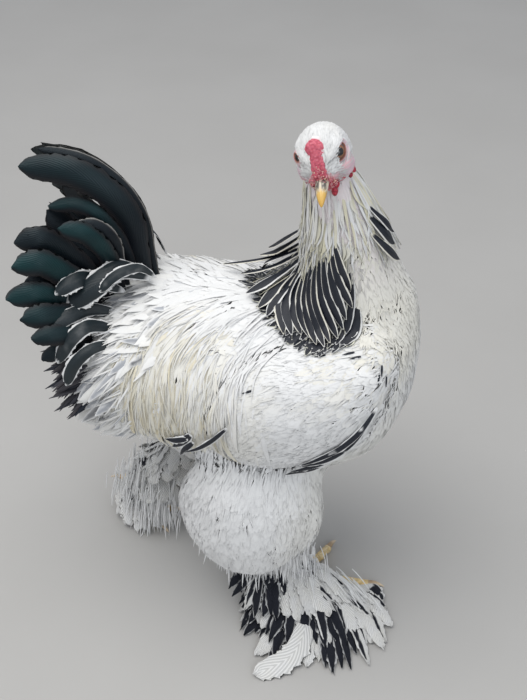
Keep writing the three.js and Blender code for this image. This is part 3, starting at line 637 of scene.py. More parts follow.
def laced(tree, shader, rim, tip, ink, depth, ribs=0.0, bands=16.0):
    # Tint at the rim, ink inside it: the ink shows by the tint's own alpha, inside the rim's share of the
    # half width and short of the tip, along an edge made uneven by fine noise; ribs across the blade shade it
    tint, place, aside, along = vaneMap(tree)
    aside = mathNode(tree, "MULTIPLY", aside, 2.0)
    grain = addNode(tree, "TexNoise", {"Vector": place}, Scale=26.0, Detail=2.0)
    uneven = mathNode(tree, "MULTIPLY_ADD", grain.outputs["Fac"], 0.10, aside)
    edge = softStep(tree, uneven, rim + 0.06, rim - 0.03)
    end = softStep(tree, along, tip + 0.015, tip - 0.015)
    share = softStep(tree, tint.outputs["Alpha"], 0.2, 0.7)
    inside = mathNode(tree, "MULTIPLY", mathNode(tree, "MULTIPLY", edge, end), share)
    blend = addNode(tree, "Mix", {}, data_type="RGBA")
    blend.inputs[7].default_value = (*ink, 1)
    tree.links.new(inside, blend.inputs[0])
    tree.links.new(tint.outputs["Color"], blend.inputs[6])
    slant = mathNode(tree, "MULTIPLY_ADD", aside, -0.12 - ribs * 0.4, along)
    rippled(tree, shader, blend.outputs[2], slant, ribs, depth, Scale=bands, Distortion=2.0)


def tintOnly(tree, shader, grain, depth):
    # the painted tint with a fine grain of bumps
    tint = addNode(tree, "Attribute", {}, attribute_name="tint")
    tree.links.new(tint.outputs["Color"], shader.inputs["Base Color"])
    where = addNode(tree, "TexCoord", {})
    noise = addNode(tree, "TexNoise", {"Vector": where.outputs["Object"]}, Scale=grain, Detail=3.0)
    bumped(tree, shader, noise.outputs["Fac"], depth, 0.0005)


whiteBarbs = {"density": 3.5, "depth": 0.12, "shade": 0.04, "slope": 1.5}
whitePlumage = nodeMaterial("whitePlumage", barbs, whiteBarbs, Roughness=0.9, Specular_IOR_Level=0.15,
                            Sheen_Weight=0.2, Sheen_Roughness=0.5)
hackleBarbs = {"density": 1.1, "depth": 0.2, "shade": 0.1, "slope": 4}
hacklePlumage = nodeMaterial("hacklePlumage", barbs, hackleBarbs, Roughness=0.7, Specular_IOR_Level=0.3)
capeLace = {"rim": 0.78, "tip": 0.975, "ink": (0.010, 0.013, 0.022), "depth": 0.3, "ribs": 0.1}
capePlumage = nodeMaterial("capePlumage", laced, capeLace, Roughness=0.42, Specular_IOR_Level=0.45)
tailLace = {"rim": 0.86, "tip": 0.975, "ink": (0.008, 0.016, 0.020), "depth": 0.4}
lacedPlumage = nodeMaterial("lacedPlumage", laced, tailLace, Roughness=0.4, Specular_IOR_Level=0.5)
footLace = {"rim": 0.74, "tip": 0.93, "ink": (0.012, 0.014, 0.022), "depth": 0.9, "ribs": 0.3, "bands": 5.0}
footPlumage = nodeMaterial("footPlumage", laced, footLace, Roughness=0.7, Specular_IOR_Level=0.25)
glossPlumage = nodeMaterial("glossPlumage", barbs, {"density": 9, "depth": 0.35, "shade": 0.3},
                            Roughness=0.42, Specular_IOR_Level=0.3, Specular_Tint=(0.8, 0.95, 1, 1))
downSkin = nodeMaterial("downSkin", tintOnly, {"grain": 900, "depth": 0.4}, Roughness=0.7)
redFlesh = nodeMaterial("redFlesh", tintOnly, {"grain": 1400, "depth": 0.5}, Roughness=0.5,
                        Subsurface_Weight=0.12, Subsurface_Scale=0.003, Specular_IOR_Level=0.45)
hornShell = nodeMaterial("hornShell", tintOnly, {"grain": 500, "depth": 0.15}, Roughness=0.35,
                         Coat_Weight=0.2, Coat_Roughness=0.25)
wetEye = nodeMaterial("wetEye", tintOnly, {"grain": 300, "depth": 0.05}, Roughness=0.25, Coat_Weight=1.0,
                      Coat_Roughness=0.03)
toeSkin = nodeMaterial("toeSkin", tintOnly, {"grain": 700, "depth": 0.3}, Roughness=0.5)
print("materials made")

# Skin: one closed hull of torso, neck, thighs and shanks under the coat, joined with the bare head

# size of the voxels in metres, how deep each form lies under the coat, and the shank's radius
skinSet = {"voxel": 0.0045, "torso": 9, "neck": 7, "thigh": 13, "shank": 8}


def circle(sides):
    # angles once round
    return np.linspace(0, 2 * np.pi, sides, endpoint=False)


def sphere(a, t):
    # unit sphere's points at the angle a from its top and t round it
    return np.stack([np.sin(a) * np.cos(t), np.sin(a) * np.sin(t), np.cos(a)], -1)


def closedGrid(points, start, end):
    # vertices and faces of rings of points closed at both ends
    quads, fans = tubeFaces(*points.shape[:2])
    vertices = np.concatenate([points.reshape(-1, 3), [start], [end]])
    return vertices, outward(vertices, quads.tolist() + fans.tolist())


def outward(vertices, faces):
    # turns every face round where the closed grid's volume comes out negative
    tris = np.array([[f[0], f[i], f[i + 1]] for f in faces for i in range(1, len(f) - 1)])
    a, b, c = (vertices[tris[:, k]] - vertices.mean(0) for k in range(3))
    volume = np.sum(a * np.cross(b, c))
    return faces if volume > 0 else [face[::-1] for face in faces]


def joined(parts):
    # several closed grids as one list of vertices and one of faces
    vertices, faces, base = [], [], 0
    for v, f in parts:
        vertices.append(v)
        faces += [[i + base for i in face] for face in f]
        base += len(v)
    return np.concatenate(vertices), faces


def meshOf(name, vertices, faces):
    mesh = bpy.data.meshes.new(name)
    mesh.from_pydata(((vertices + shift) / 1000).tolist(), [], faces)
    mesh.update()
    return mesh


def pathAt(points, s):
    # smooth curve through points, by their share of the chord length
    points = np.array(points, float)
    run = runAlong(points)
    return readTable(run / run[-1], points, s)


def tubeGrid(points, radius, rings, sides, face=(0, 0, 1)):
    # ellipse carried along a smooth path; radius(s) gives half width and half depth
    s = np.linspace(0, 1, rings)
    line = pathAt(points, s)
    ahead = unit(np.gradient(line, axis=0))
    side = unit(np.cross(ahead, np.array(face, float)))
    up = np.cross(side, ahead)
    wide, deep = radius(s)
    turn = circle(sides)
    ring = (line[:, None] + side[:, None] * (wide[:, None] * np.cos(turn))[..., None]
            + up[:, None] * (deep[:, None] * np.sin(turn))[..., None])
    return ring, line, ahead


def roundTube(points, radius, rings, sides, face=(0, 0, 1)):
    # the same closed a little past both ends
    ring, line, ahead = tubeGrid(points, radius, rings, sides, face)
    wide = radius(np.array([0.0, 1.0]))[0]
    return closedGrid(ring, line[0] - ahead[0] * wide[0] * 0.6, line[-1] + ahead[-1] * wide[1] * 0.6)


def formGrid(form, rings, sides, grow, place=lambda p: p):
    # a station form as a closed grid
    a, t = np.meshgrid(np.linspace(0, np.pi, rings + 2)[1:-1], circle(sides), indexing="ij")
    ends = form.point(np.array([0.0, np.pi]), np.zeros(2), grow)
    ends[:, 1] = 0
    return closedGrid(place(form.point(a, t, grow)), place(ends[0]), place(ends[1]))


def thighPoint(thigh, a, t, grow=0):
    # thigh ellipsoid, a from its axis and t round it
    middle, sizes = np.array(thigh["middle"], float), np.array(thigh["sizes"], float) + grow
    return middle + (sphere(a, t)[..., [0, 2, 1]] * sizes) @ thighAxes(thigh["lean"])


def thighGrid(thigh, rings, sides, grow):
    a, t = np.meshgrid(np.linspace(0, np.pi, rings + 2), circle(sides), indexing="ij")
    ring = thighPoint(thigh, a, t, grow)
    return closedGrid(ring[1:-1], ring[0, 0], ring[-1, 0])


shankLines = {"right": [(-10, -60, 122), (-6, -58, 98), (22, -48, 52), (42, -38, 16)],
              "left": [(-100, 52, 160), (-118, 50, 138), (-150, 47, 98), (-178, 44, 58)]}


def shankRadius(s):
    return (skinSet["shank"] - 1.5 * np.sin(np.pi * s),) * 2


def bodyHull():
    # all the forms set in under the coat and fused on a voxel grid, then softened
    parts = [formGrid(torsoForm, 60, 64, -skinSet["torso"])]
    s, turn = np.linspace(0, 1, 30), circle(40)
    centre, wide, deep = neckAt(s)
    deep, wide = deep[:, None] - skinSet["neck"], wide[:, None] - skinSet["neck"]
    ring = np.stack([np.cos(turn) * deep, np.sin(turn) * wide, np.zeros((len(s), len(turn)))], -1)
    ring = centre[:, None] + ring
    parts.append(closedGrid(ring, centre[0], centre[-1]))
    for thigh in thighs.values():
        parts.append(thighGrid(thigh, 24, 32, -skinSet["thigh"]))
    for line in shankLines.values():
        parts.append(roundTube(line, shankRadius, 14, 16, (1, 0, 0)))
    vertices, faces = joined(parts)
    hull = bpy.data.objects.new("hull", meshOf("hull", vertices, faces))
    bpy.context.scene.collection.objects.link(hull)
    remesh = hull.modifiers.new("remesh", "REMESH")
    remesh.mode, remesh.voxel_size = "VOXEL", skinSet["voxel"]
    soften = hull.modifiers.new("soften", "SMOOTH")
    soften.factor, soften.iterations = 0.5, 6
    made = bpy.data.meshes.new_from_object(hull.evaluated_get(bpy.context.evaluated_depsgraph_get()))
    bpy.data.objects.remove(hull)
    co = np.zeros(len(made.vertices) * 3, np.float32)
    made.vertices.foreach_get("co", co)
    vertices = co.reshape(-1, 3).astype(float) * 1000 - shift
    return vertices, [list(p.vertices) for p in made.polygons]


def paintMesh(mesh, colours):
    # one tint to every vertex, and smooth shading
    layTint(mesh, colours)
    mesh.polygons.foreach_set("use_smooth", np.ones(len(mesh.polygons), bool))


def gridPiece(name, parts, paint, material, slotName, *nodes):
    # closed grids as one piece, painted by a function of place
    vertices, faces = joined(parts)
    mesh = meshOf(name, vertices, faces)
    paintMesh(mesh, paint(vertices))
    return finishPiece(mesh, name, material, slotName, *nodes)


white = np.array([0.85, 0.85, 0.84])
cream = np.array([0.84, 0.80, 0.67])
butter = np.array([0.80, 0.72, 0.52])
black = np.array([0.010, 0.013, 0.020])
smoke = np.array([0.28, 0.30, 0.34])
pinkSkin = np.array([0.74, 0.42, 0.42])
crimson = np.array([0.50, 0.045, 0.07])


# Lies of the coat: each gives the way the feathers run at a point, before it is laid along the surface

def sideOf(p):
    # -1 on the right and 1 on the left, soft across the middle
    return np.sign(p[:, 1:2]) * smooth(np.abs(p[:, 1:2]), 0, 25)


def heading(p, x, y, z):
    # one direction for every point, its parts single numbers or columns
    return np.concatenate([np.broadcast_to(part, (len(p), 1)) for part in (x, y, z)], 1)


def lieBack(p, n):
    # down the chest, then down and back over flank and belly
    back = smooth(p[:, 0:1], 140, 40)
    return heading(p, mix(-0.15, -0.8, back), sideOf(p) * 0.15, -mix(1, 0.55, back))


def lieWing(p, n):
    # back along the wing and a little down
    return heading(p, -0.9, 0.0, -0.5)


def lieSaddle(p, n):
    # back and out at the spine, straight down over the flank, back again towards the tail
    top = smooth(torsoForm.turnOf(p), 15, 80)[:, None]
    rear = smooth(p[:, 0:1], -110, -190)
    back = np.maximum(mix(-0.02, 0.85, top), rear * 0.75)
    return heading(p, -back, sideOf(p) * mix(0.1, 0.45, top), -0.9)


def lieSpine(p, n):
    # back, out and a little down
    return heading(p, -1.0, sideOf(p) * 0.35, -0.3)


def lieThigh(p, n):
    # down and a little back
    return heading(p, -0.12, 0.0, -1.0)


# Paint: tints for every point of a vane, from its places across (u), along (v) and in space (p), and its root

def tone(root, size, seed):
    return cloud(root, size, seed)[:, None]


def spread3(colour, like):
    # the colour at every point
    return np.broadcast_to(colour, like.shape + (3,))


def tinted(colour, other, amount):
    # one colour towards another by an amount for every point
    return mix(colour, other, amount[..., None])


def paintWhite(u, v, p, root):
    # soft white with a breath of cream, a little darker towards the root
    warm = smooth(tone(root, 60, 3), 0.3, 0.8) * 0.3
    dust = rng.uniform(0.965, 1.015, (len(root), 1))
    colour = tinted(spread3(white, u), cream, warm)
    return colour * (dust * mix(0.95, 1.0, smooth(v, 0, 0.7)))[..., None]


def paintBreast(u, v, p, root):
    # cream under the throat, and a painted bluish shade towards the bird's left
    colour = paintWhite(u, v, p, root)
    high = (smooth(root[:, 2], 330, 400) * smooth(root[:, 1], 60, -10))[:, None]
    colour = tinted(colour, cream, high * 0.55)
    # painted shade: a bluish grey over the breast's far side
    farShade = smooth(root[:, 1], -20, 60)[:, None] * 0.5
    return tinted(colour, (0.74, 0.79, 0.86), farShade)


def paintSaddle(u, v, p, root):
    # white at the spine, cream and butter over the flank, grey at the centre of feathers towards the tail
    strand = rng.random((len(root), 1))
    flank = smooth(torsoForm.turnOf(root), 86, 52)
    flank = flank * smooth(root[:, 0], -172, -135) * smooth(root[:, 0], 10, -40)
    patch = mix(0.45, 1, smooth(tone(root, 26, 6), 0.25, 0.65))
    warm = flank[:, None] * mix(0.6, 1, smooth(strand, 0.05, 0.6)) * patch
    colour = tinted(spread3(white, u), mix(cream, butter, smooth(strand, 0.6, 0.9)[..., None]), warm)
    rear = smooth(root[:, 0], -130, -180)[:, None]
    dark = (strand > mix(0.93, 0.45, rear)) * smooth(v, 0.15, 0.5) * smooth(np.abs(u), 0.75, 0.35)
    colour = tinted(colour, smoke, dark * mix(0.5, 0.75, rear))
    return colour * mix(0.94, 1.0, smooth(v, 0, 0.5))[..., None]


def frontness(root):
    # 1 on the throat and breast side of the neck, 0 behind; the throat turns with the head
    s = neckShare(root)
    centre, wide, deep = neckAt(s)
    turn = np.arctan2((root[:, 1] - centre[:, 1]) / wide, (root[:, 0] - centre[:, 0]) / deep)
    front = np.radians(mix(-10, -86, smooth(s, 0.45, 0.9)))
    apart = np.degrees(np.abs(np.angle(np.exp(1j * (turn - front)))))
    return smooth(apart, 80, 48)


def paintCape(u, v, p, root):
    # the lace's colour, with the share of black inside it as alpha, from a height of its own down
    strand = rng.random((len(root), 1))
    lace = mix(white * 0.92, cream * (0.95, 0.98, 0.95), smooth(strand, 0.3, 1.0)[..., None])
    level = 496 - 44 * rng.random((len(root), 1)) ** 1.5
    inside = smooth(p[..., 2], level + 14, level - 12)
    return np.concatenate([spread3(lace, u), inside[..., None]], -1)


def paintHackle(u, v, p, root):
    # cream strands, some with a grey-green or dark centre towards their tips
    s = neckShare(root)[:, None]
    strand = rng.random((len(root), 1))
    base = mix(white, butter * (0.98, 1.02, 0.98), smooth(strand, 0.1, 1.0)[..., None] * 0.8)
    dark = rng.random((len(root), 1)) < mix(0.3, 0.05, smooth(s, 0.55, 0.8))
    inside = dark * smooth(np.abs(u), 0.75, 0.45) * smooth(p[..., 2], 495, 460)
    return tinted(spread3(base, u), black * 2, inside * 0.85) * mix(0.92, 1, v)[..., None]


def paintThroat(u, v, p, root):
    # pinkish white under the chin, cream lower down, with a few grey and brown smudges
    strand = rng.random((len(root), 1))
    high = smooth(root[:, 2], 440, 530)[:, None, None]
    colour = mix(mix(white, cream, 0.55), mix(white, (0.82, 0.68, 0.68), 0.45), high)
    smudge = smooth(tone(root, 16, 9), 0.5, 0.72) * smooth(root[:, 2], 548, 525)[:, None]
    smudge = smudge * smooth(root[:, 2], 425, 455)[:, None]
    grey = (strand > 0.5) * smudge * smooth(v, 0.2, 0.7)
    return tinted(spread3(colour, u), smoke * (1.1, 1.0, 0.9), grey * 0.6)


unwrapTiles = {1: (0.01, 0.51, 0.99, 0.99), -1: (0.01, 0.01, 0.99, 0.49)}   # left and right half of the torso


def torsoPoint(a, t):
    return torsoForm.point(a, np.radians(t))


def bodyRoots(xRange, turnRange, spacing):
    # roots on both sides of the torso, between two places along it and two turns round it in degrees
    angles = np.arccos(np.clip((np.array(xRange) - torsoForm.middle) / torsoForm.half, -1, 1))
    roots, maps = [], []
    for side in (1, -1):
        a, t = rowsOver(torsoPoint, angles, turnRange, spacing)
        p = torsoPoint(a, t)
        p[:, 1] *= side
        roots.append(p)
        maps.append(onUnwrap(a, t, (0, np.pi), (-90, 90), unwrapTiles[side]))
    return np.concatenate(roots), np.concatenate(maps)


def neckPoint(s, turn, grow=0):
    centre, wide, deep = neckAt(s)
    return centre + np.stack([np.cos(turn) * (deep + grow), np.sin(turn) * (wide + grow),
                              np.zeros_like(turn)], -1)


def insideThighs(p):
    # distance to the nearer thigh
    return np.minimum(thighDistance(p, thighs["right"]), thighDistance(p, thighs["left"]))


def chestRoots(spacing):
    # roots of breast, belly and flank, with the lower front of the neck, outside what covers them
    root, uv = bodyRoots((151.5, -211.5), (-90, 90), spacing)
    turn = torsoForm.turnOf(root)
    keep = ((turn < 24) | (root[:, 0] > 66)) & (neckDistance(root) > -3) & (insideThighs(root) > -6)
    s, t = rowsOver(neckPoint, (0.02, 0.62), (-2.2, 2.2), spacing)
    high = neckPoint(s, t)
    upper = (torsoForm.distance(high) > -3) & (frontness(high) > 0.12)
    return (np.concatenate([root[keep], high[upper]]),
            np.concatenate([uv[keep], onUnwrap(s, t, (0, 1), (-np.pi, np.pi))[upper]]))


breastSet = {"length": 29, "width": 11.4, "rings": 4, "sink": 1.6, "lift": 0.25, "section": "lock",
             "shape": "round", "thick": 0.12, "cup": 0.1, "spacing": 7.6, "tilt": 0.01, "roll": 0.015,
             "lumps": (1.8, (36, 36, 26)), "wander": 0.16, "vary": 0.2, "fray": 0.12, "soft": 0.97}
softSet = {"length": 24, "width": 2.4, "rings": 3, "sink": 0.8, "lift": 0.55, "section": "strand",
           "shape": "hair", "thick": 0.15, "cup": 0.0, "spacing": 5.2, "wander": 0.25, "vary": 0.3,
           "lumps": (1.8, (36, 36, 26)), "soft": 0.97}
for name, size in (("feathers", breastSet), ("down", softSet)):
    coatPiece(f"breast_{name}", chestRoots(size["spacing"]), size, lieBack, paintBreast, whitePlumage)
print("breast made", sum(grown))


# Wing bows, smooth and white, with soft strands over them

def wingRoots(spacing):
    root, uv = bodyRoots((137, -62), (-45, 80), spacing)
    keep = (wingHeight(root) > 1) & (neckDistance(root) > -2)
    return root[keep], uv[keep]


wingLumps = (2.0, (46, 32, 26))
wingSet = dict(breastSet, length=30, width=11, spacing=6.8, lift=0.15, lumps=wingLumps)
wingSoftSet = dict(softSet, length=21, spacing=3.7, lumps=wingLumps, lift=0.45, wander=0.3)
for name, size in (("feathers", wingSet), ("down", wingSoftSet)):
    coatPiece(f"wing_{name}", wingRoots(size["spacing"]), size, lieWing, paintWhite, whitePlumage)
print("wings made", sum(grown))


# Back: short feathers along the spine, then the long saddle hackles that hang over the flanks

backSet = dict(breastSet, length=32, width=8, spacing=5.8, lift=0.8, wander=0.25, rings=5, fray=0.2,
               soft=0.95)
root, uv = bodyRoots((60, -205), (48, 90), backSet["spacing"])
keep = neckDistance(root) > -2
coatPiece("back_feathers", (root[keep], uv[keep]), backSet, lieSpine, paintSaddle, whitePlumage)


def saddleRoots(spacing, low, high):
    # clear of the neck, and but for a few clear of the wings
    root, uv = bodyRoots((26, -206), (low, high), spacing)
    keep = (neckDistance(root) > 2) & ((wingHeight(root) < 4) | (rng.random(len(root)) < 0.06))
    return root[keep], uv[keep]


saddleSet = {"length": 92, "width": 7.5, "rings": 8, "sink": 1.8, "lift": 2.2, "ease": 0.5,
             "section": "lock", "shape": "point", "thick": 0.2, "cup": 0.15, "spacing": 6.1, "wander": 0.1,
             "vary": 0.22, "lumps": (2.6, (22, 24, 60)), "roll": 0.06, "fray": 0.1, "soft": 0.93}
wispSet = dict(saddleSet, length=70, width=2.1, spacing=5.1, rings=7, lift=2.9, section="strand",
               shape="hair", thick=0.25, cup=0.0, wander=0.16)
for name, size, low, high in (("hackles", saddleSet, 22, 86), ("wisps", wispSet, 16, 80)):
    coatPiece(f"saddle_{name}", saddleRoots(size["spacing"], low, high), size, lieSaddle, paintSaddle,
              hacklePlumage)
print("saddle made", sum(grown))


# Neck: soft short feathers on the throat and bib, laced cape feathers from rings round the neck to the
# cape's edge, and cream hackles over their roots

def quillShares(rings):
    # shares along a quill, closer together towards its tip
    return 1 - (1 - np.linspace(0, 1, rings)) ** 1.5


def quillPiece(name, quills, rings, steps, slotName, material, *nodes, fray=0.06, soft=0.0, ragged=0.8):
    # quills: the path, face, width, shape, thick, cup, paint(u, v, p), seat on the unwrap and roll of each
    s = quillShares(rings)
    line = np.stack([pathAt(q["path"], s) for q in quills])
    face = np.stack([np.broadcast_to(unit(np.array(q["face"], float)), (rings, 3)) for q in quills])
    side, top = frameLines(line, face, np.array([q.get("roll", 0.0) for q in quills]))
    half = np.concatenate([widths(q["shape"], np.array([q["width"]]), s) for q in quills])
    thick = np.array([q["thick"] for q in quills])[:, None]
    cup = np.array([q["cup"] for q in quills])[:, None]
    uv = np.array([q["seat"] for q in quills])

    def paint(u, v, p):
        rows = [slice(i, i + 1) for i in range(len(quills))]
        return np.concatenate([q["paint"](u[i], v[i], p[i]) for i, q in zip(rows, quills)])

    piece = vaneMesh(name, line, side, top, half, thick, quillSection(steps), cup, paint, uv, slotName,
                     material, face, soft, fray, ragged)
    if nodes:
        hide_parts(*nodes)
    return piece


def paintLaced(share, lace=None):
    # white or cream lace, with its share of black inside
    def paint(u, v, p):
        rgb = spread3(white * 0.93 if lace is None else lace * 0.95, u)
        ink = share * smooth(v, 0.02, 0.12) * mix(0.75, 1, cloud(p, 7, 3))
        return np.concatenate([rgb, ink[..., None]], -1)
    return paint


capeTips = [(108, -56, 424), (84, -80, 384), (50, -88, 370), (10, -70, 384), (-24, -34, 400),
            (-36, 12, 404), (4, 72, 390), (54, 92, 372), (96, 80, 384), (124, 44, 410), (124, -4, 440)]
capeSet = {"width": 10.5, "rings": 13, "spacing": 7.4, "squeeze": 1.2, "bend": 3, "sink": 2.0,
           "shape": "cape", "section": "small", "thick": 0.4, "cup": 0.2}
hackleSet = dict(capeSet, width=2.8, rings=8, spacing=3.2, shape="point", section="lock", thick=0.3,
                 cup=0.15)
throatSet = {"length": 24, "width": 4.6, "rings": 5, "sink": 1.3, "lift": 0.7, "section": "lock",
             "shape": "point", "thick": 0.12, "cup": 0.15, "spacing": 3.6, "wander": 0.16, "vary": 0.2,
             "roll": 0.03, "lumps": (1.2, (14, 14, 30)), "fray": 0.15, "soft": 0.95}


def capeEdge(turn):
    # the cape's edge as a closed curve over the angle round the neck
    tips = np.array(capeTips, float)
    centre = neckAt(np.array(0.45))[0]
    at = np.arctan2(tips[:, 1] - centre[1], tips[:, 0] - centre[0])
    order = np.argsort(at)
    at, tips = at[order], tips[order]
    at = np.concatenate([at - 2 * np.pi, at, at + 2 * np.pi])
    return readTable(at, np.concatenate([tips] * 3), turn)


def neckRoots(low, high, size):
    # roots round the neck between two shares of its height, outside torso and head
    s, turn = rowsOver(neckPoint, (low, high), (-np.pi, np.pi), size["spacing"], size.get("squeeze", 1))
    root = neckPoint(s, turn, -3)
    keep = (torsoForm.distance(root) > -6) & (headDistance(root) > -9)
    return root[keep], s[keep], onUnwrap(s, turn, (0, 1), (-np.pi, np.pi))[keep]


def neckAim(root, s):
    # the cape's edge straight below each root, with a little stray
    centre = neckAt(s)[0]
    turn = np.arctan2(root[:, 1] - centre[:, 1], root[:, 0] - centre[:, 0])
    return capeEdge(turn + rng.normal(0, 0.05, len(s)))


def neckPiece(name, root, end, uv, lift, size, paint, material):
    # feathers drawn from their roots to their ends over the trunk, bent a little to either side
    sink = np.full(len(root), size["sink"])
    line, out = dragLines(root, end, size["rings"], trunkDistance, sink, lift, risen=0.25)
    side, top = frameLines(line, out, rng.normal(0.06, 0.07, len(root)))
    bend = rng.normal(0, size["bend"], (len(root), 1)) * np.sin(np.pi * np.linspace(0, 1, size["rings"]))
    line = line + side * bend[..., None]
    half = widths(size["shape"], size["width"] * rng.uniform(0.75, 1.2, len(root)), size["rings"])
    vaneMesh(name, line, side, top, half, size["thick"], sections[size["section"]], size["cup"],
             lambda u, v, p: paint(u, v, p, root), uv, "plumage_hackle", material, out, 0.9, 0.08)


def lieThroat(p, n):
    # down and a little forward
    return heading(p, 0.15, 0.0, -1.0)


root, s, uv = neckRoots(0.1, 1.0, throatSet)
keep = frontness(root) > 0.12
coatPiece("throat_feathers", (root[keep], uv[keep]), throatSet, lieThroat, paintThroat, whitePlumage,
          "plumage_hackle")

root, s, uv = neckRoots(0.14, 0.66, capeSet)
keep = frontness(root) < 0.22
root, s, uv = root[keep], s[keep], uv[keep]
nearer = smooth(root[:, 1], 10, -10) * 0.16   # the right side's feathers end a little higher
reach = (mix(1.0, 0.8, smooth(s, 0.3, 0.66)) - nearer) * rng.uniform(0.86, 1.04, len(s))
end = mix(root, neckAim(root, s), reach[:, None])
lift = mix(3.0, 6.0, smooth(s, 0.2, 0.66)) + rng.uniform(-1, 1, len(s))
neckPiece("neck_cape", root, end, uv, lift, capeSet, paintCape, capePlumage)

root, s, uv = neckRoots(0.5, 0.98, hackleSet)
keep = rng.random(len(s)) > frontness(root) * 0.85
root, s, uv = root[keep], s[keep], uv[keep]
edge = neckAim(root, s)
low = rng.uniform(428, 486, len(s)) + frontness(root) * 30
reach = np.clip((root[:, 2] - low) / (root[:, 2] - edge[:, 2]), 0.15, 0.8)
lift = mix(8.0, 4.0, smooth(s, 0.5, 0.97)) * mix(1, 0.5, frontness(root)) + rng.uniform(-1, 2, len(s))
neckPiece("neck_hackles", root, mix(root, edge, reach[:, None]), uv, lift, hackleSet, paintHackle,
          hacklePlumage)

capeQuills = [
    # path and width of the long laced feathers over the cape's right side, front to back
    ([(62, -52, 490), (73, -62, 468), (82, -60, 445)], 9),
    ([(58, -52, 485), (71, -64, 456), (85, -64, 429)], 10),
    ([(54, -51, 480), (67, -65, 448), (80, -67, 417)], 10),
    ([(50, -50, 477), (60, -63, 442), (78, -70, 407)], 11),
    ([(46, -48, 473), (54, -62, 435), (74, -77, 401)], 11),
    ([(42, -45, 469), (48, -61, 430), (67, -81, 398)], 11),
    ([(38, -41, 465), (42, -56, 425), (62, -83, 394)], 11),
    ([(34, -37, 460), (37, -53, 419), (54, -81, 394)], 11),
    ([(30, -31, 455), (31, -49, 415), (46, -71, 394)], 11),
    ([(27, -25, 448), (24, -42, 411), (37, -65, 392)], 11),
    ([(25, -24, 449), (17, -39, 411), (28, -66, 391)], 12),
    ([(23, -20, 448), (12, -32, 412), (20, -66, 391)], 13),
    ([(21, -26, 440), (7, -34, 409), (0, -48, 397)], 12),
    ([(21, -18, 446), (6, -22, 416), (-10, -40, 400)], 15),
    ([(21, -16, 451), (0, -14, 420), (-25, -24, 405)], 15),
    ([(20, -14, 456), (-6, 0, 423), (-36, 8, 406)], 12),
    ([(20, -10, 458), (-8, 4, 427), (-17, 7, 408)], 10),
    ([(22, -13, 466), (-4, 8, 431), (-58, 23, 405)], 9),
    ([(96, -28, 522), (109, -30, 506), (116, -14, 486)], 9),
    ([(97, -33, 514), (110, -33, 496), (118, -19, 476)], 12),
    ([(100, -38, 497), (113, -39, 483), (124, -22, 461)], 10),
    ([(23, -9, 473), (6, 0, 447), (-18, 16, 425)], 12),
    ([(24, -9, 480), (12, -3, 462), (-8, 10, 439)], 10),
]


capeRings = 24
nearQuills = 11   # so many of them, the first ones, are on both sides of the neck


def capeQuill(path, width, k):
    # its root laid down on the neck, its face away from the body
    path = np.array(path, float)
    path[0] = onForm(path[:1], trunkDistance, -2.5)[0]
    face = slopeOf(trunkDistance, pathAt(path, quillShares(capeRings)))[1]
    return {"path": path, "face": face, "width": width, "shape": "cape", "cup": 0.22, "thick": 0.35,
            "seat": (0.3 + 0.02 * k, 0.5), "roll": rng.normal(0.08, 0.05),
            "paint": paintLaced(1.0, mix(white, cream, rng.uniform(0, 1)))}


quills = [capeQuill(path, width, k) for k, (path, width) in enumerate(capeQuills)]
for k, (path, width) in enumerate(capeQuills[:nearQuills]):
    # the first ones again over the neck's far side
    path = np.array(path, float)
    path[:, 1] = 2 * neckAt(neckShare(path))[0][:, 1] - path[:, 1]
    quills.append(capeQuill(path, width, k + 20))
quillPiece("cape_quills", quills, capeRings, 11, "plumage_hackle", capePlumage, soft=0.6, fray=0.05,
           ragged=0.3)
print("neck made", sum(grown))


# Head: bare skin with brow, cheeks and mouth line, then eyes, lids, comb, bill and short feathers over it

skinDepth = 2.6   # how far the bare skin lies under the skull form
headSides = {"left": 1, "right": -1}
ballSet = {"forward": 3.2, "side": 14.6, "up": 9.8, "radius": 9.0, "gaze": (0.57, 0.56, 0.58), "pupil": 24}
lidSet = {"share": {1: 1, -1: 0.42},   # how far open the left and the right eye are
          "angles": [-180, -159, -139, -108, -76, -47, -22, -2, 23, 55, 83, 118, 151, 168, 180],
          "opening": [58, 62, 43, 36, 40, 47, 52, 49, 43, 29, 22, 25, 31, 46, 58], "rim": 0.8}
combSet = {"front": 25, "back": 0, "pebble": 2.3, "bump": 0.75,
           "share": [0, 0.2, 0.38, 0.52, 0.66, 0.8, 0.92, 1],
           "half": [6.4, 6.2, 6.2, 7.2, 8.4, 7.6, 4.2, 0.9],
           "high": [1.6, 2.2, 3.0, 4.0, 4.8, 4.2, 2.8, 0.8]}
billSet = {"base": 17, "tip": 49, "half": 6.5, "drop": -3.5, "hook": 4.4}
nostril = (27.5, 4.3, -0.6), (31.5, 3.4, -1.2)


def cells(p, size, seed):
    # cell noise: distance to the nearest of one jittered point in each cell, and a number that's its own
    q = p / size
    base = np.floor(q)
    best, own = np.full(q.shape[:-1], 9.0), np.zeros(q.shape[:-1])
    for step in np.ndindex(3, 3, 3):
        cell = base + np.array(step) - 1
        spot = cell + np.stack([lattice(cell, seed + k) for k in range(3)], -1)
        d = np.linalg.norm(q - spot, axis=-1)
        own = np.where(d < best, lattice(cell, seed + 7), own)
        best = np.minimum(best, d)
    return best, own


def toSegment(q, a, b):
    # distance from points to the stretch from a to b
    a, b = np.array(a, float), np.array(b, float)
    t = np.clip((q - a) @ (b - a) / np.sum((b - a) ** 2), 0, 1)
    return np.linalg.norm(q - a - t[..., None] * (b - a), axis=-1)


def mirrored(q):
    # both sides of the head folded onto its left
    return np.stack([q[..., 0], np.abs(q[..., 1]), q[..., 2]], -1)


def placed(q):
    return onHead(q[..., 0], q[..., 1], q[..., 2])


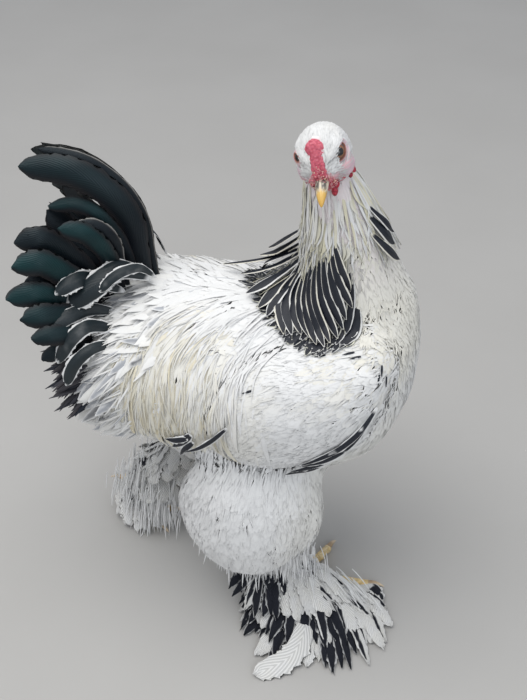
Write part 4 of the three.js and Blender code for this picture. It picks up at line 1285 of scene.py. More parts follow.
def faceShape(q):
    # how far the skin stands out or in at a point of the head
    m = mirrored(q)
    brow = toSegment(m, (-4, 19, 17), (15, 11, 15.5))
    socket = toSegment(m, (0, 23, 9), (8, 20, 8))
    cheek = toSegment(m, (8, 20, -6), (2, 23, -9))
    mouth = toSegment(m, (24, 6, -8.5), (10, 19, -11))
    crease = toSegment(m, (13, 15, 7), (21, 8.5, -2))
    jowl = toSegment(m, (14, 10, -19), (2, 12, -23))
    side = toSegment(m, (9, 17, -13), (-3, 21, -14))
    return (1.9 * smooth(brow, 6.5, 1) - 3.0 * smooth(socket, 8.5, 2.5) + 3.0 * smooth(cheek, 11, 2)
            - 1.3 * smooth(mouth, 2.6, 0.4) - 1.1 * smooth(crease, 2.6, 0.5) + 2.5 * smooth(jowl, 9, 2)
            + 2.6 * smooth(side, 10, 2))


def bareness(q):
    # 1 on the bare face, 0 where the feathers grow close
    m = mirrored(q)
    ring = toSegment(m, (0, 22, 10), (9, 18, 8))
    cheek = toSegment(m, (14, 17, -5), (3, 23, -8))
    jaw = toSegment(m, (23, 8, -9), (1, 23, -16))
    front = smooth(m[..., 0], 20, 24)
    strip = smooth(np.abs(q[..., 1]), 6, 3.5) * smooth(q[..., 0], -2, 4) * smooth(q[..., 2], 0, 8)
    throat = smooth(m[..., 2], -16, -20) * smooth(m[..., 0], 0, 6)
    bare = smooth(ring, 9.5, 7) + smooth(cheek, 12, 9) + smooth(jaw, 9, 6) + front + strip + throat
    return np.clip(bare, 0, 1)


def redness(q):
    # red round the bill, along the jaw and at the ear lobe, broken into streaks
    m = mirrored(q)
    jaw = smooth(toSegment(m, (25, 6, -7), (15, 16, -11)), 4.5, 2)
    back = smooth(toSegment(m, (15, 16, -12), (3, 23, -15)), 4.6, 1.6) * 0.8
    muzzle = smooth(toSegment(m, (26, 0, 2), (22, 8, -6)), 7, 3.5) * 0.6
    streak = cells(q * np.array([0.5, 1, 1]), 1.7, 3)[0]
    speck = smooth(streak, 0.15, 0.5)
    return np.clip(muzzle + jaw * mix(0.5, 1, speck) + back * mix(0.1, 1, speck), 0, 1)


def headSkin(rings=140, sides=170):
    # the skull form under its coat, moved in and out by the face's own shape
    a, t = np.meshgrid(np.linspace(0, np.pi, rings + 2)[1:-1], circle(sides), indexing="ij")
    q = skullForm.point(a, t, -skinDepth)
    q = q + slopeOf(skullForm.distance, q)[1] * faceShape(q)[..., None]
    ends = skullForm.point(np.array([0.0, np.pi]), np.zeros(2), -skinDepth)
    ends[:, 1] = 0
    return closedGrid(placed(q), *placed(ends))


def paintHeadSkin(p):
    # pale with a pink blush where it's bare, white under the feathers, red by redness
    q = inHead(p)
    bare = bareness(q) * smooth(q[:, 0], -14, -8)
    blush = smooth(cloud(q, 7, 2), 0.3, 0.8)[:, None]
    skin = mix((0.73, 0.53, 0.59), pinkSkin, blush * 0.55)
    colour = mix(np.broadcast_to(white, q.shape), skin, bare[:, None])
    return mix(colour, crimson * mix(0.8, 1.25, cloud(q, 3, 5))[:, None], redness(q)[:, None])


hullVertices, hullFaces = bodyHull()
headVertices, headFaces = headSkin()
skinVertices, skinFaces = joined([(hullVertices, hullFaces), (headVertices, headFaces)])
skinMesh = meshOf("skin", skinVertices, skinFaces)
scaled = smooth(hullVertices[:, 2], 84, 62)[:, None]
hullTint = mix(white * 0.92, (0.74, 0.55, 0.26), scaled)
paintMesh(skinMesh, np.concatenate([hullTint, paintHeadSkin(headVertices)]))
finishPiece(skinMesh, "skin", downSkin, "plumage_white", "torso", "neck", "head", "wing_left", "wing_right",
            "thigh_left", "thigh_right", "shank_left", "shank_right")
print("skin made", len(skinVertices))


def ballMiddle(sign):
    return np.array([ballSet["forward"], sign * ballSet["side"], ballSet["up"]])


def ballAxes(sign):
    # gaze, then forward across it, then up, in head coordinates
    gaze = unit(np.array(ballSet["gaze"]) * (1, sign, 1))
    ahead = unit(np.array([1.0, 0, 0]) - gaze * gaze[0])
    return np.array([gaze, ahead, np.cross(ahead, gaze) * sign])


def ballPoint(sign, theta, phi, radius):
    # theta off the gaze, phi from forward to up
    around = sphere(theta, phi)[..., [2, 0, 1]]
    return ballMiddle(sign) + (around * np.asarray(radius)[..., None]) @ ballAxes(sign)


def gazeAngles(p, sign):
    # theta and phi of points of one eye, in degrees
    part = unit(inHead(p) - ballMiddle(sign)) @ ballAxes(sign).T
    return np.degrees(np.arccos(np.clip(part[:, 0], -1, 1))), np.degrees(np.arctan2(part[:, 2], part[:, 1]))


def eyeGrid(sign):
    # sphere round the gaze with a slight swell at the cornea
    a, t = np.meshgrid(np.linspace(0, np.pi, 62)[1:-1], circle(64), indexing="ij")
    radius = ballSet["radius"] * (1 + 0.05 * smooth(a, 1.0, 0.0))
    ends = ballPoint(sign, np.array([0, np.pi]), np.zeros(2), np.array([radius[0, 0], radius[-1, 0]]))
    return closedGrid(placed(ballPoint(sign, a, t, radius)), placed(ends[0]), placed(ends[1]))


def paintEye(sign):
    # brown iris with rays, a lighter ring round the black pupil and a dark rim
    def paint(p):
        theta, phi = gazeAngles(p, sign)
        phi, pupil = np.radians(phi), ballSet["pupil"]
        rays = 0.5 + 0.5 * np.sin(phi * 37 + np.sin(phi * 11) * 2) * np.sin(theta * 0.35)
        iris = mix((0.26, 0.09, 0.025), (0.12, 0.035, 0.01), rays[:, None] * 0.8)
        iris = mix(iris, (0.34, 0.15, 0.06), smooth(theta, 32, 26)[:, None] * 0.5)
        iris = mix(iris, (0.05, 0.015, 0.008), smooth(theta, 34, 46)[:, None])
        return mix(iris, (0.004, 0.003, 0.003), smooth(theta, pupil + 2, pupil)[:, None])
    return paint


def lidOpening(sign, degrees):
    # how far off the gaze the lid's edge lies round the eye
    opening = readTable(lidSet["angles"], np.array(lidSet["opening"], float), degrees)
    return opening * lidSet["share"][sign]


def lidGrid(sign):
    # shell round the eyeball from the slanted opening out under the skin, with a thick rolled rim and folds
    phi = circle(120)
    edge = np.radians(lidOpening(sign, (np.degrees(phi) + 180) % 360 - 180))
    share = np.concatenate([np.linspace(-0.12, 0, 4), np.linspace(0.02, 1, 26)])
    s, e = np.meshgrid(share, edge, indexing="ij")
    turn = np.broadcast_to(phi, s.shape)
    theta = mix(e, np.radians(112), np.maximum(s, 0) ** 1.1) + np.minimum(s, 0) * 0.1
    fold = 0.22 * np.sin(np.sqrt(np.maximum(s, 0)) * 26 + np.sin(turn * 3)) * smooth(s, 0.6, 0.1)
    radius = (ballSet["radius"] + 0.25 + lidSet["rim"] * np.sqrt(np.maximum(s, 0) * 9).clip(0, 1)
              + np.minimum(s, 0) * 3 + fold * (s > 0) - 1.6 * smooth(s, 0.45, 1))
    q = ballPoint(sign, theta, turn, radius)
    deep = ballPoint(sign, np.array(np.pi), np.array(0.0), np.array(ballSet["radius"] * 0.3))
    inner = ballPoint(sign, edge + 0.02, phi, np.full(len(phi), ballSet["radius"] - 1.0))
    ring = placed(np.concatenate([inner[None], q]))
    mid = ballPoint(sign, np.array(0.0), np.array(0.0), np.array(ballSet["radius"] - 2.5))
    return closedGrid(ring, placed(mid), placed(deep))


def paintLid(sign):
    # dark at the rim, then brown, then the pink of the face
    def paint(p):
        theta, phi = gazeAngles(p, sign)
        off = theta - lidOpening(sign, phi)
        rim = mix((0.16, 0.05, 0.03), (0.42, 0.19, 0.15), smooth(off, 1, 6)[:, None])
        return mix(rim, (0.72, 0.52, 0.54), smooth(off, 5, 14)[:, None])
    return paint


for sideName, sign in headSides.items():
    gridPiece(f"eyeball_{sideName}", [eyeGrid(sign)], paintEye(sign), wetEye, "eye", f"eye_{sideName}")
    gridPiece(f"lids_{sideName}", [lidGrid(sign)], paintLid(sign), redFlesh, "red_flesh")


def skullTop(f, l):
    # height of the skin over the middle of the head
    angle = np.arccos(np.clip((f - skullForm.middle) / skullForm.half, -1, 1))
    height, wide, rise, _ = skullForm.section(angle)
    return height + (rise - skinDepth) * np.sqrt(np.maximum(1 - (l / np.maximum(wide, 1)) ** 2, 0.05))


def pebbled(q, size, bump, seed):
    # rounded bumps by cell noise, high at each cell's middle
    off, own = cells(q, size, seed)
    return bump * (1 - np.clip(off, 0, 1) ** 2 * 1.7) * mix(0.7, 1.2, own)


def combGrid():
    # dome across a path from the bill back over the brow, half width and height read along it, pebbled
    share = np.linspace(0, 1, 90)
    f = mix(combSet["front"], combSet["back"], share)
    half = readTable(combSet["share"], np.array(combSet["half"], float), share)
    high = readTable(combSet["share"], np.array(combSet["high"], float), share)
    _, t = np.meshgrid(share, circle(72), indexing="ij")
    l = np.cos(t) * half[:, None]
    lift = np.sin(t)
    dome = np.where(lift > 0, np.abs(lift) ** 0.75 * high[:, None], lift * 3)
    lean = -1.2 * smooth(share, 0.3, 0.7)[:, None]
    height = skullTop(f, 0 * f)[:, None] - 1.2 - (l / 9.5) ** 2 + dome
    q = np.stack([np.broadcast_to(f[:, None], l.shape), l + lean, height], -1)
    out = np.stack([np.zeros_like(l), np.cos(t) * 0.6, np.maximum(lift, 0)], -1)
    bumps = pebbled(q, combSet["pebble"], combSet["bump"], 1) * (lift > -0.2)
    q = q + unit(out + 1e-6) * bumps[..., None]
    front, back = q[0].mean(0) + (0.6, 0, -0.4), q[-1].mean(0) - (0.8, 0, 0.6)
    return closedGrid(placed(q), placed(front), placed(back))


def paintPebbleShading(size, dark, mid, light):
    # painted shade between the pebbles and painted light on top of them
    def paint(p):
        off, own = cells(inHead(p), size, 1)
        colour = mix(mid, dark, smooth(off, 0.42, 0.8)[:, None])
        return mix(colour, light, (smooth(off, 0.35, 0.05) * mix(0.3, 1, own))[:, None])
    return paint


# painted shade and painted light on the pebbles of the comb, and on those of wattles and lobes
combPaint = paintPebbleShading(combSet["pebble"], (0.46, 0.07, 0.11), (0.62, 0.13, 0.18), (0.78, 0.34, 0.38))
redPaint = paintPebbleShading(1.8, (0.22, 0.01, 0.02), (0.50, 0.03, 0.06), (0.66, 0.12, 0.14))
gridPiece("pea_comb", [combGrid()], combPaint, redFlesh, "red_flesh", "comb")


def fleshBall(middle, sizes, lean, bump, size):
    # pebbled ellipsoid in head coordinates, its lower half hanging fuller
    a, t = np.meshgrid(np.linspace(0, np.pi, 44)[1:-1], circle(56), indexing="ij")
    ball = sphere(a, t)
    ball = ball * np.stack([mix(0.7, 1.08, smooth(-ball[..., 2], -1, 0.6))] * 2 + [np.ones(a.shape)], -1)
    q = np.array(middle) + ball * np.array(sizes)
    q[..., 1] += lean * (q[..., 2] - middle[2])
    q = q + unit(ball + 1e-9) * pebbled(q, size, bump, 5)[..., None]
    top = np.array(middle) + (0, 0, sizes[2])
    low = np.array(middle) - (0, lean * sizes[2], sizes[2])
    return closedGrid(placed(q), placed(top), placed(low))


for sideName, sign in headSides.items():
    wattle = [fleshBall((22.5, sign * 7.0, -18), (4.8, 2.8, 6.4), sign * 0.15, 0.35, 2.0),
              fleshBall((18, sign * 10, -14.5), (4.8, 2.2, 4.2), sign * 0.2, 0.4, 2.0)]
    gridPiece(f"wattle_fold_{sideName}", wattle, redPaint, redFlesh, "red_flesh", f"wattle_{sideName}")
    lobe = [fleshBall((2.5, sign * 22.4, -14), (3.6, 2.0, 5.6), sign * -0.28, 0.45, 1.7),
            fleshBall((7, sign * 20.4, -17.5), (3.4, 1.5, 2.8), sign * -0.3, 0.45, 1.7)]
    gridPiece(f"ear_lobe_{sideName}", lobe, redPaint, redFlesh, "red_flesh", f"earlobe_{sideName}")


knobSet = {"tries": 1600, "most": 520, "radius": (0.35, 0.7), "low": (14.5, -12.5, -15),
           "high": (28.5, 12.5, 17)}


def papillae():
    # small red knobs over the skin round the bill, closest to it the most
    draw = np.random.default_rng(5)
    corners = zip(knobSet["low"], knobSet["high"])
    spots = np.stack([draw.uniform(low, high, knobSet["tries"]) for low, high in corners], -1)
    d, out = slopeOf(skullForm.distance, spots)
    spots = spots - out * (d + 2.3)[:, None]
    aside = np.abs(spots[:, 1])
    keep = (spots[:, 0] > 14.5 + aside * 0.35) & (np.hypot(spots[:, 1], spots[:, 2] + 4) > 5.6)
    keep &= aside < 3.5 + smooth(spots[:, 2], 16, -4) * 9
    spots = spots[keep][:knobSet["most"]]
    a, t = np.meshgrid(np.linspace(0.25, np.pi - 0.3, 5), circle(7), indexing="ij")
    parts = []
    for q, n in zip(spots, slopeOf(skullForm.distance, spots)[1]):
        size = draw.uniform(*knobSet["radius"])
        q = q + n * size * 0.5
        parts.append(closedGrid(placed(q + sphere(a, t) * size), placed(q + (0, 0, size)),
                                placed(q - (0, 0, size))))
    return parts


def paintPapillae(p):
    # red to pink, a few horn yellow
    hue = cells(inHead(p), 2.2, 8)[1]
    colour = mix((0.60, 0.13, 0.17), (0.74, 0.36, 0.38), smooth(hue, 0.2, 0.8)[:, None])
    return mix(colour, (0.76, 0.60, 0.44), smooth(hue, 0.75, 0.92)[:, None] * 0.8)


gridPiece("bill_papillae", papillae(), paintPapillae, redFlesh, "red_flesh")


def billGrid(top):
    # ellipse quarters along a hooked path; the upper half has a raised ridge and sunk nostrils
    share = np.linspace(0, 1, 80)
    reach = billSet["tip"] if top else billSet["tip"] - 4.5
    f = mix(billSet["base"], reach, share)
    past = np.clip((f - 25) / (billSet["tip"] - 25), 0, 1)
    bend = billSet["hook"] * past**2.2 if top else 1.2 + (billSet["hook"] - 1.5) * past**1.6
    middle = billSet["drop"] - bend
    half = billSet["half"] * (1 - np.clip((f - 22) / (reach + 0.4 - 22), 0, 1) ** 1.7) ** 0.66 + 0.3
    rise = (5.2 if top else 1.2) * (1 - past**1.7) ** 0.6 + 0.3
    drop = (1.4 if top else 3.2) * (1 - past**1.4) + 0.3
    _, t = np.meshgrid(share, circle(60), indexing="ij")
    c, up = np.cos(t), np.sin(t)
    ridge = 0.7 * smooth(np.abs(c), 0.34, 0.05) * (up > 0) * (1 - past[:, None]) if top else 0
    l = half[:, None] * c * (0.97 if top else 0.84)
    upper = rise[:, None] * (np.maximum(up, 0) ** 0.9 if top else up)
    height = middle[:, None] + np.where(up > 0, upper, drop[:, None] * up) + ridge
    q = np.stack([np.broadcast_to(f[:, None], l.shape), l, height], -1)
    if top:
        pit = toSegment(mirrored(q), *nostril)
        q[..., 1] -= np.sign(q[..., 1]) * 1.1 * smooth(pit, 1.5, 0.5)
    front = np.array([reach + 0.7, 0, middle[-1] - (0.5 if top else 0)])
    return closedGrid(placed(q), placed(q[0].mean(0) - (0.5, 0, 0)), placed(front))


def paintBill(p):
    # yellow tip, dark horn streaks on both sides of a pale ridge at the base, and painted shade in the
    # nostrils
    q = inHead(p)
    m = mirrored(q)
    yellow = mix((0.66, 0.38, 0.07), (0.72, 0.48, 0.15), smooth(q[:, 2], -8, 2)[:, None])
    grain = cloud(q * np.array([0.25, 2.2, 2.2]), 1.6, 2)
    base = smooth(q[:, 0] + grain * 6, 43, 36)[:, None]
    colour = mix(yellow, (0.66, 0.60, 0.48), base)
    streak = smooth(m[:, 1], 0.9, 1.5) * smooth(grain, 0.28, 0.55) * base[:, 0] * smooth(m[:, 1], 5.6, 4.6)
    colour = mix(colour, (0.05, 0.045, 0.045), streak[:, None] * 0.92)
    pit = toSegment(m, *nostril)
    # painted shade: near black in the sunk nostrils
    colour = mix(colour, (0.02, 0.015, 0.012), smooth(pit, 1.3, 0.6)[:, None])
    return mix(colour, (0.42, 0.10, 0.06), smooth(q[:, 0], 27, 24.5)[:, None])


gridPiece("bill_shell_upper", [billGrid(True)], paintBill, hornShell, "horn", "bill_upper")
gridPiece("bill_shell_lower", [billGrid(False)], paintBill, hornShell, "horn", "bill_lower")


def lieHead(p, n):
    # back from the bill and a little down
    return np.broadcast_to(-headBasis[0] - 0.2 * headBasis[2], p.shape)


def faceField(p):
    # the skull form at the skin, with the face's shape laid on it
    q = inHead(p)
    return skullForm.distance(q) + skinDepth - faceShape(q)


def paintHead(u, v, p, root):
    warm = smooth(tone(root, 20, 3), 0.4, 0.9) * 0.2
    dust = rng.uniform(0.9, 1.0, (len(root), 1))
    return tinted(spread3(white, u), cream, warm) * (mix(0.88, 1.0, v) * dust)[..., None]


def headRoots(spacing):
    # roots over the skull form, in head coordinates
    a, t = rowsOver(lambda a, t: skullForm.point(a, t, -2), (0.05, 2.9), (0, 2 * np.pi), spacing)
    return skullForm.point(a, t, -skinDepth), onUnwrap(a, t, (0, np.pi), (0, 2 * np.pi))


headSet = {"length": 8, "width": 1.5, "rings": 3, "sink": 0.5, "lift": 1.6, "ease": 0.9,
           "section": "strand", "shape": "round", "thick": 0.15, "cup": 0.1, "spacing": 1.15,
           "wander": 0.22, "roll": 0.1, "vary": 0.25, "lumps": (0.6, (9, 9, 9)), "soft": 0.7}
q, uv = headRoots(headSet["spacing"])
keep = (bareness(q) < 0.45) & (neckDistance(placed(q)) > -8)
coatPiece("head_feathers", (placed(q[keep]), uv[keep]), headSet, lieHead, paintHead, whitePlumage,
          "plumage_face", faceField)
bristleSet = {"length": 7, "width": 0.55, "rings": 5, "sink": 0.5, "lift": 1.4, "section": "strand",
              "shape": "hair", "thick": 0.2, "cup": 0.0, "spacing": 1.45, "wander": 0.3, "vary": 0.3}
q, uv = headRoots(bristleSet["spacing"])
keep = (bareness(q) > 0.2) & (q[:, 0] < 23) & (rng.random(len(q)) < mix(0.3, 0.2, redness(q)))
keep &= (np.abs(q[:, 1]) > 7) | (q[:, 2] < -12)
coatPiece("face_bristles", (placed(q[keep]), uv[keep]), bristleSet, lieHead, paintHead, whitePlumage,
          "plumage_face", faceField)
print("head made", sum(grown))


# Thighs: soft feathers in gentle folds with fluff over them, and flank feathers that hang over their tops

thighLumps = (4.5, (34, 30, 70))
thighSet = {"length": 31, "width": 9.8, "rings": 4, "sink": 1.8, "lift": 0.45, "section": "lock",
            "shape": "round", "thick": 0.15, "cup": 0.12, "spacing": 6.5, "lumps": thighLumps,
            "wander": 0.22, "roll": 0.02, "vary": 0.2, "fray": 0.15, "stick": 1.0, "soft": 0.97}
fluffSet = {"length": 26, "width": 2.4, "rings": 3, "sink": 0.9, "lift": 0.8, "section": "strand",
            "shape": "hair", "thick": 0.15, "cup": 0.0, "spacing": 4.2, "wander": 0.3, "vary": 0.3,
            "lumps": thighLumps, "stick": 0.95, "soft": 0.97}


def thighRoots(thigh, spacing, clear):
    # roots over one thigh, clear of the torso
    a, t = rowsOver(lambda a, t: thighPoint(thigh, a, t), (0.1, np.pi - 0.05), (0, 2 * np.pi), spacing)
    root = thighPoint(thigh, a, t)
    keep = bodyDistance(root) > clear
    return root[keep], onUnwrap(a, t, (0, np.pi), (0, 2 * np.pi))[keep]


for sideName, thigh in thighs.items():
    field = lambda p: blended(thighDistance(p, thigh), bodyDistance(p), 26)
    for name, size, clear in (("feathers", thighSet, -9), ("fluff", fluffSet, 5)):
        coatPiece(f"thigh_{name}_{sideName}", thighRoots(thigh, size["spacing"], clear), size, lieThigh,
                  paintWhite, whitePlumage, field=field)


def flankField(p):
    # torso and both thighs with a wide fillet between them
    d = bodyDistance(p)
    for thigh in thighs.values():
        d = blended(d, thighDistance(p, thigh), 34)
    return d


flankSet = dict(thighSet, length=40, width=6.5, spacing=5.6, lift=0.6, rings=6, level=0.35, straight=0.93,
                wander=0.1)
flankSoftSet = dict(fluffSet, length=38, width=2.1, spacing=4.8, lift=0.8, rings=5, level=0.35,
                    straight=0.93, wander=0.12)
for name, size in (("feathers", flankSet), ("fluff", flankSoftSet)):
    root, uv = bodyRoots((80, -150), (-85, -8), size["spacing"])
    keep = (insideThighs(root) < 34) & (insideThighs(root) > -24)
    coatPiece(f"flank_{name}", (root[keep], uv[keep]), size, lieThigh, paintWhite, whitePlumage,
              field=flankField)
print("thighs made", sum(grown))


# Rump and cushion: soft white feathers with grey and black centres that lift off towards the tail

def lieRump(p, n):
    # back and out at the top, back and down on the sides
    top = smooth(torsoForm.turnOf(p), 10, 75)[:, None]
    return heading(p, -1.0, sideOf(p) * mix(0.15, 0.5, top), mix(-0.95, -0.05, top))


def paintCushion(u, v, p, root):
    # white with a smoky or black centre, more of it close to the tail
    strand = rng.random((len(root), 1))
    close = smooth(root[:, 0], -118, -175)[:, None] * smooth(root[:, 2], 262, 300)[:, None]
    grain = cloud(p, 5, 4)
    dark = (strand < mix(0.25, 0.9, close)) * smooth(np.abs(u) + grain * 0.4, 0.95, 0.5)
    dark = dark * smooth(v, 0.2, 0.5) * smooth(v, 0.99, 0.92)
    ink = mix(smoke, black * 2, smooth(rng.random((len(root), 1)), 0.5, 0.9)[..., None])
    return mix(mix(white, cream, 0.2 * strand[..., None]), ink, (dark * 0.8)[..., None])


rumpSet = {"length": 50, "width": 10.5, "rings": 8, "sink": 2.5, "lift": 7, "ease": 1.4, "section": "small",
           "shape": "point", "thick": 0.3, "cup": 0.2, "spacing": 7.2, "wander": 0.22, "vary": 0.25,
           "roll": 0.25, "fray": 0.2, "stick": 0.8, "soft": 0.6}
cushionSet = dict(rumpSet, length=66, width=13, spacing=9.0, lift=15, ease=1.3, rings=11, stick=0.7)
cushionSoftSet = dict(cushionSet, length=48, width=2.4, spacing=6.2, lift=12, rings=7, section="strand",
                      shape="hair", wander=0.3, cup=0.0, depth=2)
rear = [("rump_feathers", rumpSet, (-88, -209), (38, 90)),
        ("cushion_feathers", cushionSet, (-128, -211), (-42, 52)),
        ("cushion_fluff", cushionSoftSet, (-120, -211), (-60, 85))]
for name, size, xRange, turnRange in rear:
    coatPiece(name, bodyRoots(xRange, turnRange, size["spacing"]), size, lieRump, paintCushion,
              whitePlumage)
print("cushion made", sum(grown))


# Quills: single broad feathers along their own paths

# the teal is painted sheen, laid into the colour of the tail's blades
teal = np.array([0.005, 0.042, 0.044])
umber = np.array([0.035, 0.026, 0.024])


def tealSheenPaint(amount, edge=0.0):
    # near black, a painted teal sheen over the blade's middle, a little to one side, and a brown or pale edge
    def paint(u, v, p):
        blade = smooth(v, 0.3, 0.7) * smooth(np.abs(u - 0.15), 0.95, 0.35)
        # painted sheen: teal over the middle of the blade, by the share given
        sheenShare = blade * mix(0.5, 1, cloud(p, 16, 8)) * amount
        colour = tinted(spread3(black * 0.55, u), teal, sheenShare)
        colour = tinted(colour, umber, smooth(np.abs(u), 0.6, 1.0) * 0.5 * (1 - sheenShare))
        return tinted(colour, (0.45, 0.43, 0.40), smooth(np.abs(u), 0.93, 1.0) * edge)
    return paint


tailSide = [
    # path on the right side, width and share of painted teal sheen; the first point lies hidden under the
    # coverts
    ([(-126, -7, 380), (-137, -8, 424), (-143, -11, 468), (-163, -14, 500), (-198, -17, 522),
      (-247, -18, 523)], 30, 0.25),
    ([(-121, -2, 385), (-128, -2, 428), (-133, -3, 466), (-151, -4, 501), (-183, -5, 526),
      (-231, -6, 537)], 15, 0.0),
    ([(-140, -10, 400), (-155, -14, 447), (-174, -18, 478), (-196, -20, 488), (-221, -22, 483)], 16, 0.6),
    ([(-150, -14, 385), (-156, -24, 427), (-157, -32, 456), (-170, -36, 473), (-191, -40, 475)], 17, 0.0),
    ([(-155, -18, 382), (-161, -28, 422), (-167, -40, 453), (-181, -48, 473), (-202, -52, 478)], 22, 1.0),
    ([(-162, -20, 378), (-185, -30, 412), (-207, -45, 449), (-224, -55, 465), (-246, -58, 461)], 27, 0.1),
    ([(-160, -18, 376), (-181, -28, 405), (-208, -42, 433), (-221, -50, 451), (-232, -54, 468)], 24, 0.0),
    ([(-164, -22, 372), (-179, -36, 396), (-201, -56, 427), (-220, -68, 446), (-245, -74, 444)], 28, 1.0),
    ([(-166, -26, 362), (-183, -40, 382), (-207, -62, 400), (-228, -76, 414), (-253, -82, 409)], 26, 0.8),
    ([(-164, -30, 354), (-179, -48, 373), (-200, -72, 389), (-218, -86, 396), (-237, -92, 395)], 25, 0.5),
    ([(-160, -34, 348), (-175, -54, 362), (-190, -78, 373), (-208, -92, 378), (-226, -98, 376)], 21, 0.3),
    ([(-160, -36, 338), (-174, -54, 350), (-190, -74, 356), (-208, -88, 354), (-222, -92, 346)], 18, 0.1),
]
paleEdged = (1, 3)   # which of them have a pale edge
tailFan = {
    # where the hidden feathers between the two sides begin and end, from the middle outwards
    "count": 8,
    "roots": [(-156, 6, 392), (-164, 20, 372), (-166, 26, 346)],
    "tips": [(-232, 14, 478), (-246, 34, 452), (-248, 56, 414), (-240, 72, 378), (-224, 78, 348),
             (-206, 76, 320)],
}
lacedCoverts = [
    # path, width and share of black on the right side
    ([(-124, -18, 408), (-150, -34, 426), (-160, -45, 425), (-174, -55, 415), (-199, -61, 396)], 27, 1.0),
    ([(-118, -22, 412), (-131, -32, 428), (-144, -43, 430), (-155, -51, 425), (-166, -57, 413)], 12, 0.8),
    ([(-150, -30, 396), (-177, -40, 412), (-186, -52, 422), (-196, -62, 421), (-208, -68, 413)], 19, 0.9),
    ([(-152, -40, 376), (-180, -56, 388), (-194, -72, 390), (-207, -82, 385), (-221, -87, 372)], 18, 0.9),
    ([(-146, -52, 362), (-168, -66, 376), (-178, -78, 382), (-192, -88, 371), (-206, -93, 347)], 17, 0.8),
    ([(-142, -62, 348), (-160, -76, 360), (-174, -88, 360), (-188, -96, 346), (-198, -99, 322)], 15, 0.9),
]

def onSide(path, side):
    # a path on the right side, or its mirror image on the left
    return np.array(path, float) * (1, -side, 1)


quills = []
for side in (1, -1):
    for k, (path, width, amount) in enumerate(tailSide):
        quills.append({"path": onSide(path, side), "face": (0.12, side, 0.55), "width": width,
                       "shape": "tongue", "paint": tealSheenPaint(amount, 0.7 if k in paleEdged else 0.0),
                       "cup": 0.2, "thick": 0.5, "seat": (0.5 + side * 0.2, 0.1 + 0.07 * k),
                       "roll": side * rng.normal(0.05, 0.06)})
    for k in range(tailFan["count"]):
        share = (k + rng.uniform(-0.3, 0.3)) / (tailFan["count"] - 1)
        start, tip = (pathAt(tailFan[end], np.array([np.clip(share, 0, 1)]))[0] * (1, side, 1)
                      for end in ("roots", "tips"))
        tip = mix(start, tip, rng.uniform(0.88, 1.0))
        look = unit(np.array([0.25, side, mix(1.1, 0.3, share)]))
        quills.append({"path": [start, (start + tip) / 2 + look * (5 - k), tip - look * k], "face": look,
                       "width": rng.uniform(24, 31), "shape": "tongue",
                       "roll": -side * rng.uniform(0.1, 0.3), "paint": tealSheenPaint(rng.uniform(0, 0.25)),
                       "cup": 0.2, "thick": 0.5, "seat": (0.5 + 0.4 * side * share, 0.5)})
quillPiece("tail_feathers", quills, 30, 13, "plumage_tail", glossPlumage, "tail", ragged=1.2)
quills = []
for side in (1, -1):
    for k, (path, width, share) in enumerate(lacedCoverts):
        quills.append({"path": onSide(path, side), "face": (0.1, side, 0.75), "width": width,
                       "shape": "tongue", "paint": paintLaced(share), "cup": 0.25, "thick": 0.4,
                       "seat": (0.5 + 0.3 * side, 0.2 + 0.1 * k), "roll": side * rng.normal(0.0, 0.08)})
quillPiece("laced_coverts", quills, 30, 15, "plumage_tail", lacedPlumage, fray=0.15, ragged=1.5)


# Dark soft fluff under the tail

def paintDusk(u, v, p, root):
    # from black to a dark grey-brown, strand by strand
    shade = rng.random((len(root), 1))
    return spread3(black, u) * 1.5 + shade[..., None] * np.array([0.06, 0.05, 0.045])


floorGap = 1.0   # the lowest a loose strand may hang over the floor


def looseTuft(name, middle, spread, way, length, width, count, paint, material, slotName, droop=6, rings=5,
              stray=0.18, shape="hair", face=None):
    # separate soft strands from a small patch, all one way with a droop, that turn their upper side to face
    root = np.array(middle, float) + rng.normal(0, 1, (count, 3)) * np.array(spread)
    aim = unit(np.array(way, float) + rng.normal(0, stray, (count, 3)))
    run = length * rng.uniform(0.6, 1.1, count)
    s = np.linspace(0, 1, rings)
    sag = np.array([0, 0, droop]) * (s**2)[None, :, None]
    line = root[:, None] + aim[:, None] * (run[:, None] * s)[..., None] - sag
    line[..., 2] = np.maximum(line[..., 2], floorGap)
    face = (0.0, np.sign(middle[1]), 0.8) if face is None else face
    out = unit(np.broadcast_to(np.array(face, float), line.shape))
    side, top = frameLines(line, out, rng.uniform(-0.8, 0.8, count))
    half = widths(shape, np.full(count, float(width)), rings)
    uv = np.stack([rng.uniform(0.2, 0.8, count), rng.uniform(0.2, 0.8, count)], -1)
    vaneMesh(name, line, side, top, half, 0.3, sections["lock"], 0.5, lambda u, v, p: paint(u, v, p, root),
             uv, slotName, material, out, 0.0)


for sideName, side in (("left", 1), ("right", -1)):
    for name, middle, spread, way, length, width, count in (
            ("tail", (-186, side * 66, 330), (6, 9, 10), (-1, side * 0.4, -0.3), 34, 6.0, 120),
            ("under", (-182, side * 62, 300), (8, 12, 8), (-0.9, side * 0.4, -0.5), 30, 5.0, 104)):
        looseTuft(f"{name}_fluff_{sideName}", middle, spread, way, length, width, count, paintDusk,
                  hacklePlumage, "plumage_tail", shape="point")
print("tail made", sum(grown))


# Wing marks: dark primaries that show under the saddle, a curved one, the smoky strip on the lower front
# edge, and small dark flecks

def inked(share):
    # black inside a soft white margin
    def paint(u, v, p):
        patch = smooth(cloud(p, 5, 3) + share, 0.35, 0.75)
        return np.concatenate([spread3(white * 0.95, u), (patch * smooth(v, 0.02, 0.12))[..., None]], -1)
    return paint


